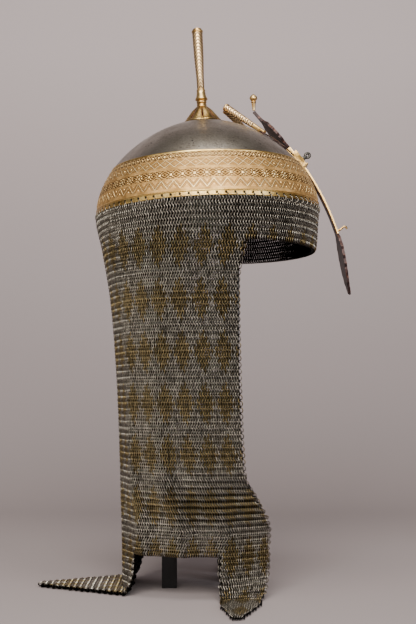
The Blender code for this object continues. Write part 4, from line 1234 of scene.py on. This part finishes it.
def add_mail(steel, brass):
    """The mail: every ring leans the other way in the next row, as in a four-in-one weave."""
    points, faces = ring_template()
    rings = lay_rings()
    chance = np.random.default_rng(SCATTER_SEED)
    place = rings[:, 0:3] + chance.normal(0.0, PLACE_SCATTER, (len(rings), 3))
    place[:, 0] += AXIS_X
    down = unit(rings[:, 6:9])
    along = rings[:, 3:6]
    along = unit(along - down * np.sum(along * down, axis=1)[:, None])
    outward = np.cross(down, along)
    columns, rows = rings[:, 9], rings[:, 10]
    way = np.where(rows % 2 == 0, 1.0, -1.0)[:, None]
    lean = (RING_LEAN + chance.normal(0.0, LEAN_SCATTER, len(rings)))[:, None]
    across = along * way * np.cos(lean) + outward * np.sin(lean)
    axis = np.cross(across, down)
    # Each ring's painted highlight on its crest, a little different from ring to ring
    tone = np.clip(chance.normal(CREST_HIGHLIGHT, HIGHLIGHT_SCATTER, len(rings)), LEAST_HIGHLIGHT, 1.0)
    brassy = in_lozenge(columns, rows)

    # Painted light: the front of each ring gets the painted highlight, full on the wire's outer
    # edge and in part on its flanks; its back is painted shade
    reach = np.hypot(points[:, 0], points[:, 2])
    wear_and_highlight = np.where(reach > RING_RADIUS, 1.0, FLANK_HIGHLIGHT) * (points[:, 0] > HIGHLIGHT_FROM * RING_RADIUS)
    middle = points * (RING_RADIUS / reach)[:, None] * (1, 0, 1)
    behind = np.clip(-points[:, 0] / RING_RADIUS, 0.0, 1.0)
    swell = np.interp(np.abs(down[:, 2]), (SWELL_FROM, SWELL_FULL), (0.0, BACK_SWELL))
    shaped = points + (points - middle) * behind[:, None] * swell[:, None, None]

    fringe = rows < (MAIL_TOP - FRINGE_FOOT) / ROW_PITCH - FIRST_ROW
    cheek = np.abs(columns) > WALL_COLUMNS / 2
    right = columns >= 0
    parts = {
        "mail_brow_band": fringe,
        "mail_right_cheek": ~fringe & cheek & right,
        "mail_right_nape": ~fringe & ~cheek & right,
        "mail_left_nape": ~fringe & ~cheek & ~right,
        "mail_left_cheek": ~fringe & cheek & ~right,
    }
    for name, chosen in parts.items():
        count = int(chosen.sum())
        corners = (place[chosen][:, None, :]
                   + shaped[chosen, :, 0:1] * across[chosen][:, None, :]
                   + shaped[chosen, :, 1:2] * axis[chosen][:, None, :]
                   + shaped[chosen, :, 2:3] * down[chosen][:, None, :])
        loops = faces[None] + np.arange(count)[:, None, None] * len(points)
        data = bpy.data.meshes.new(name)
        data.vertices.add(count * len(points))
        data.vertices.foreach_set("co", corners.ravel())
        data.loops.add(loops.size)
        data.loops.foreach_set("vertex_index", loops.ravel())
        data.polygons.add(count * len(faces))
        data.polygons.foreach_set("loop_start", np.arange(0, loops.size, faces.shape[1]))
        data.materials.append(steel)
        data.materials.append(brass)
        data.polygons.foreach_set("material_index",
                                  np.repeat(brassy[chosen].astype(np.int32), len(faces)))
        data.update(calc_edges=True)
        set_painted_light(data, np.outer(tone[chosen], wear_and_highlight).ravel())
        data.shade_smooth()
        piece = add_object(name, data)
        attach(piece, "helmet")
        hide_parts("aventail")


def add_rim_rings(steel):
    """The rings that hang the mail from the holes above the rim."""
    shape = bmesh.new()
    for number in range(RIM_HOLES):
        turn = (number + 0.5) * 2 * math.pi / RIM_HOLES
        one = wire_ring(RIM_RING_RADIUS, RIM_RING_WIRE, RIM_RING_SIDES, RIM_WIRE_SIDES)
        one.transform(Matrix.Rotation(turn, 4, "Z")
                      @ Matrix.Translation((SKULL_RADIUS - SKULL_WALL / 2, 0, -RIM_RING_DROP))
                      @ Matrix.Rotation(RIM_RING_TURN, 4, "Z"))
        data = bpy.data.meshes.new("ring")
        one.to_mesh(data)
        one.free()
        shape.from_mesh(data)
        bpy.data.meshes.remove(data)
    piece = add_piece("rim_rings", shape, (steel,), "helmet", place=HELMET, sharp=180.0)
    set_painted_light(piece.data, np.full(len(piece.data.vertices), RIM_RING_TONE))


def add_stage():
    """A plain pale floor that sweeps up behind, and soft studio lights."""
    shape = bmesh.new()
    front, back, height, half_width = -2.2, 1.1, 2.2, 2.5
    bend, bend_steps = 0.5, 12
    line = [shape.verts.new((-half_width, front, 0.0))]
    for step in range(bend_steps + 1):
        angle = step / bend_steps * math.pi / 2
        line.append(shape.verts.new((-half_width, back - bend + bend * math.sin(angle),
                                     bend - bend * math.cos(angle))))
    line.append(shape.verts.new((-half_width, back, height)))
    edges = [shape.edges.new(pair) for pair in zip(line, line[1:])]
    moved = bmesh.ops.extrude_edge_only(shape, edges=edges)["geom"]
    bmesh.ops.translate(shape, vec=(2 * half_width, 0, 0),
                        verts=[part for part in moved if isinstance(part, bmesh.types.BMVert)])
    bmesh.ops.recalc_face_normals(shape, faces=shape.faces)
    backdrop = add_object("backdrop", finish_mesh("backdrop", shape, seamless_paper()))

    # Each light's place, the point it faces, its size, its power in watts and its colour
    for name, place, aim, size, power, colour in (
            ("key", (-0.12, -1.60, 1.15), (0.0, 0.0, 0.30), (1.4, 0.9), 58.0, "#fffaf2"),
            ("right", (1.25, -1.20, 0.55), (0.0, 0.0, 0.25), (0.8, 1.1), 12.5, "#f8f9ff"),
            ("left", (-1.35, -1.00, 0.60), (0.0, 0.0, 0.25), (0.8, 1.1), 3.5, "#fffcf6"),
            ("top", (0.0, -0.50, 1.65), (0.0, 0.0, 0.40), (0.8, 0.6), 12.0, "#fffcf6")):
        light = bpy.data.lights.new(name, "AREA")
        light.shape = "RECTANGLE"
        light.size, light.size_y = size
        light.energy = power
        light.color = hex_colour(colour)[:3]
        lamp = add_object(name, light)
        lamp.location = place
        lamp.rotation_euler = (Vector(aim) - Vector(place)).to_track_quat("-Z", "Y").to_euler()

    world = bpy.data.worlds.new("studio")
    world.use_nodes = True
    surround = world.node_tree.nodes["Background"]
    surround.inputs["Color"].default_value = hex_colour("#c9c4c2")
    surround.inputs["Strength"].default_value = 0.20
    bpy.context.scene.world = world


def add_camera():
    """The camera looks level along +Y, with its view shifted up to keep the spike in frame."""
    data = bpy.data.cameras.new("camera")
    data.sensor_fit = "VERTICAL"
    data.sensor_height = SENSOR
    data.lens = FOCAL_PIXELS / FRAME_HEIGHT * SENSOR
    data.shift_y = SHIFT_PIXELS / FRAME_HEIGHT
    data.clip_start = 0.05
    camera = add_object("camera", data)
    camera.location = CAMERA_PLACE
    camera.rotation_euler = (math.radians(90), 0.0, 0.0)
    bpy.context.scene.camera = camera


def build():
    """Dress the whole helmet."""
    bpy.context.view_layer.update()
    steel = polished_steel()
    ground = cut_band()
    # Gilding that is rubbed and catches the light on every raised edge
    relief = gilding("rubbed gilding on the band", "#b98f54", "#e8c284", "#fde2a8", 0.46)
    # Yellower gilding, least worn, on the band's raised edges
    bead = gilding("bright gilding of the raised edges", "#a98040", "#d4ae64", "#f3d48c", 0.32)
    # Pale warm gilding, a little browner in its hollows
    gilt = gilding("warm gilding", "#7d5d35", "#c39c60", "#e9ca8e", 0.34)
    # Older gilding, browned and mottled
    browned = gilding("browned gilding", "#5f4a26", "#9f7f49", "#dcbc7d", 0.38)
    # Gilding with dark herringbone lines, whose peaks face the wearer's right on the spike
    chevrons = herringbone_gilding("gilding cut with herringbone", 0.25)
    holder_chevrons = herringbone_gilding("holder gilding cut with herringbone", 0.0)
    # Old red lac, worn thin over the gilding in the petals' grooves, so it keeps a dull metal shine
    red = gilding("old red lac in the grooves", "#35100c", "#4f1a12", "#6b2a1c", 0.5)
    iron = dark_iron()
    # Grey drawn steel wire with a soft shine, and tarnished brass wire a little yellower, each
    # running from painted shade to a painted highlight
    ring_steel = ring_metal("drawn steel wire", "#0d0b0a", "#453f37", "#c3bcaf")
    ring_brass = ring_metal("drawn brass wire, tarnished", "#0d0b09", "#443b2b", "#a9956b")

    add_camera()
    add_skull(steel, ground, bead)
    add_band_relief(relief)
    add_spike_foot(browned, red)
    add_spike_socket(gilt, chevrons)
    add_plume_holder("right_plume_tube", -1, gilt, holder_chevrons, iron)
    add_plume_holder("left_plume_tube", 1, gilt, holder_chevrons, iron)
    add_nasal(gilt, nasal_edge_shade_gilding(), iron)
    add_mail(ring_steel, ring_brass)
    add_rim_rings(ring_steel)
    dress_node("nasal_bracket", browned, 0.25 * MM)
    dress_node("nasal_hook", gilt, 0.1 * MM)
    screw = dress_node("thumb_screw", blackened_iron(), 0.1 * MM)
    swell = screw.modifiers.new("thick patina", "DISPLACE")
    swell.strength = SCREW_SWELL
    swell.mid_level = 0.0
    dress_node("stand_frame", satin_paint(), 0.6 * MM)
    dress_node("stand_pad", black_felt(), 1.0 * MM)
    add_stage()


build()
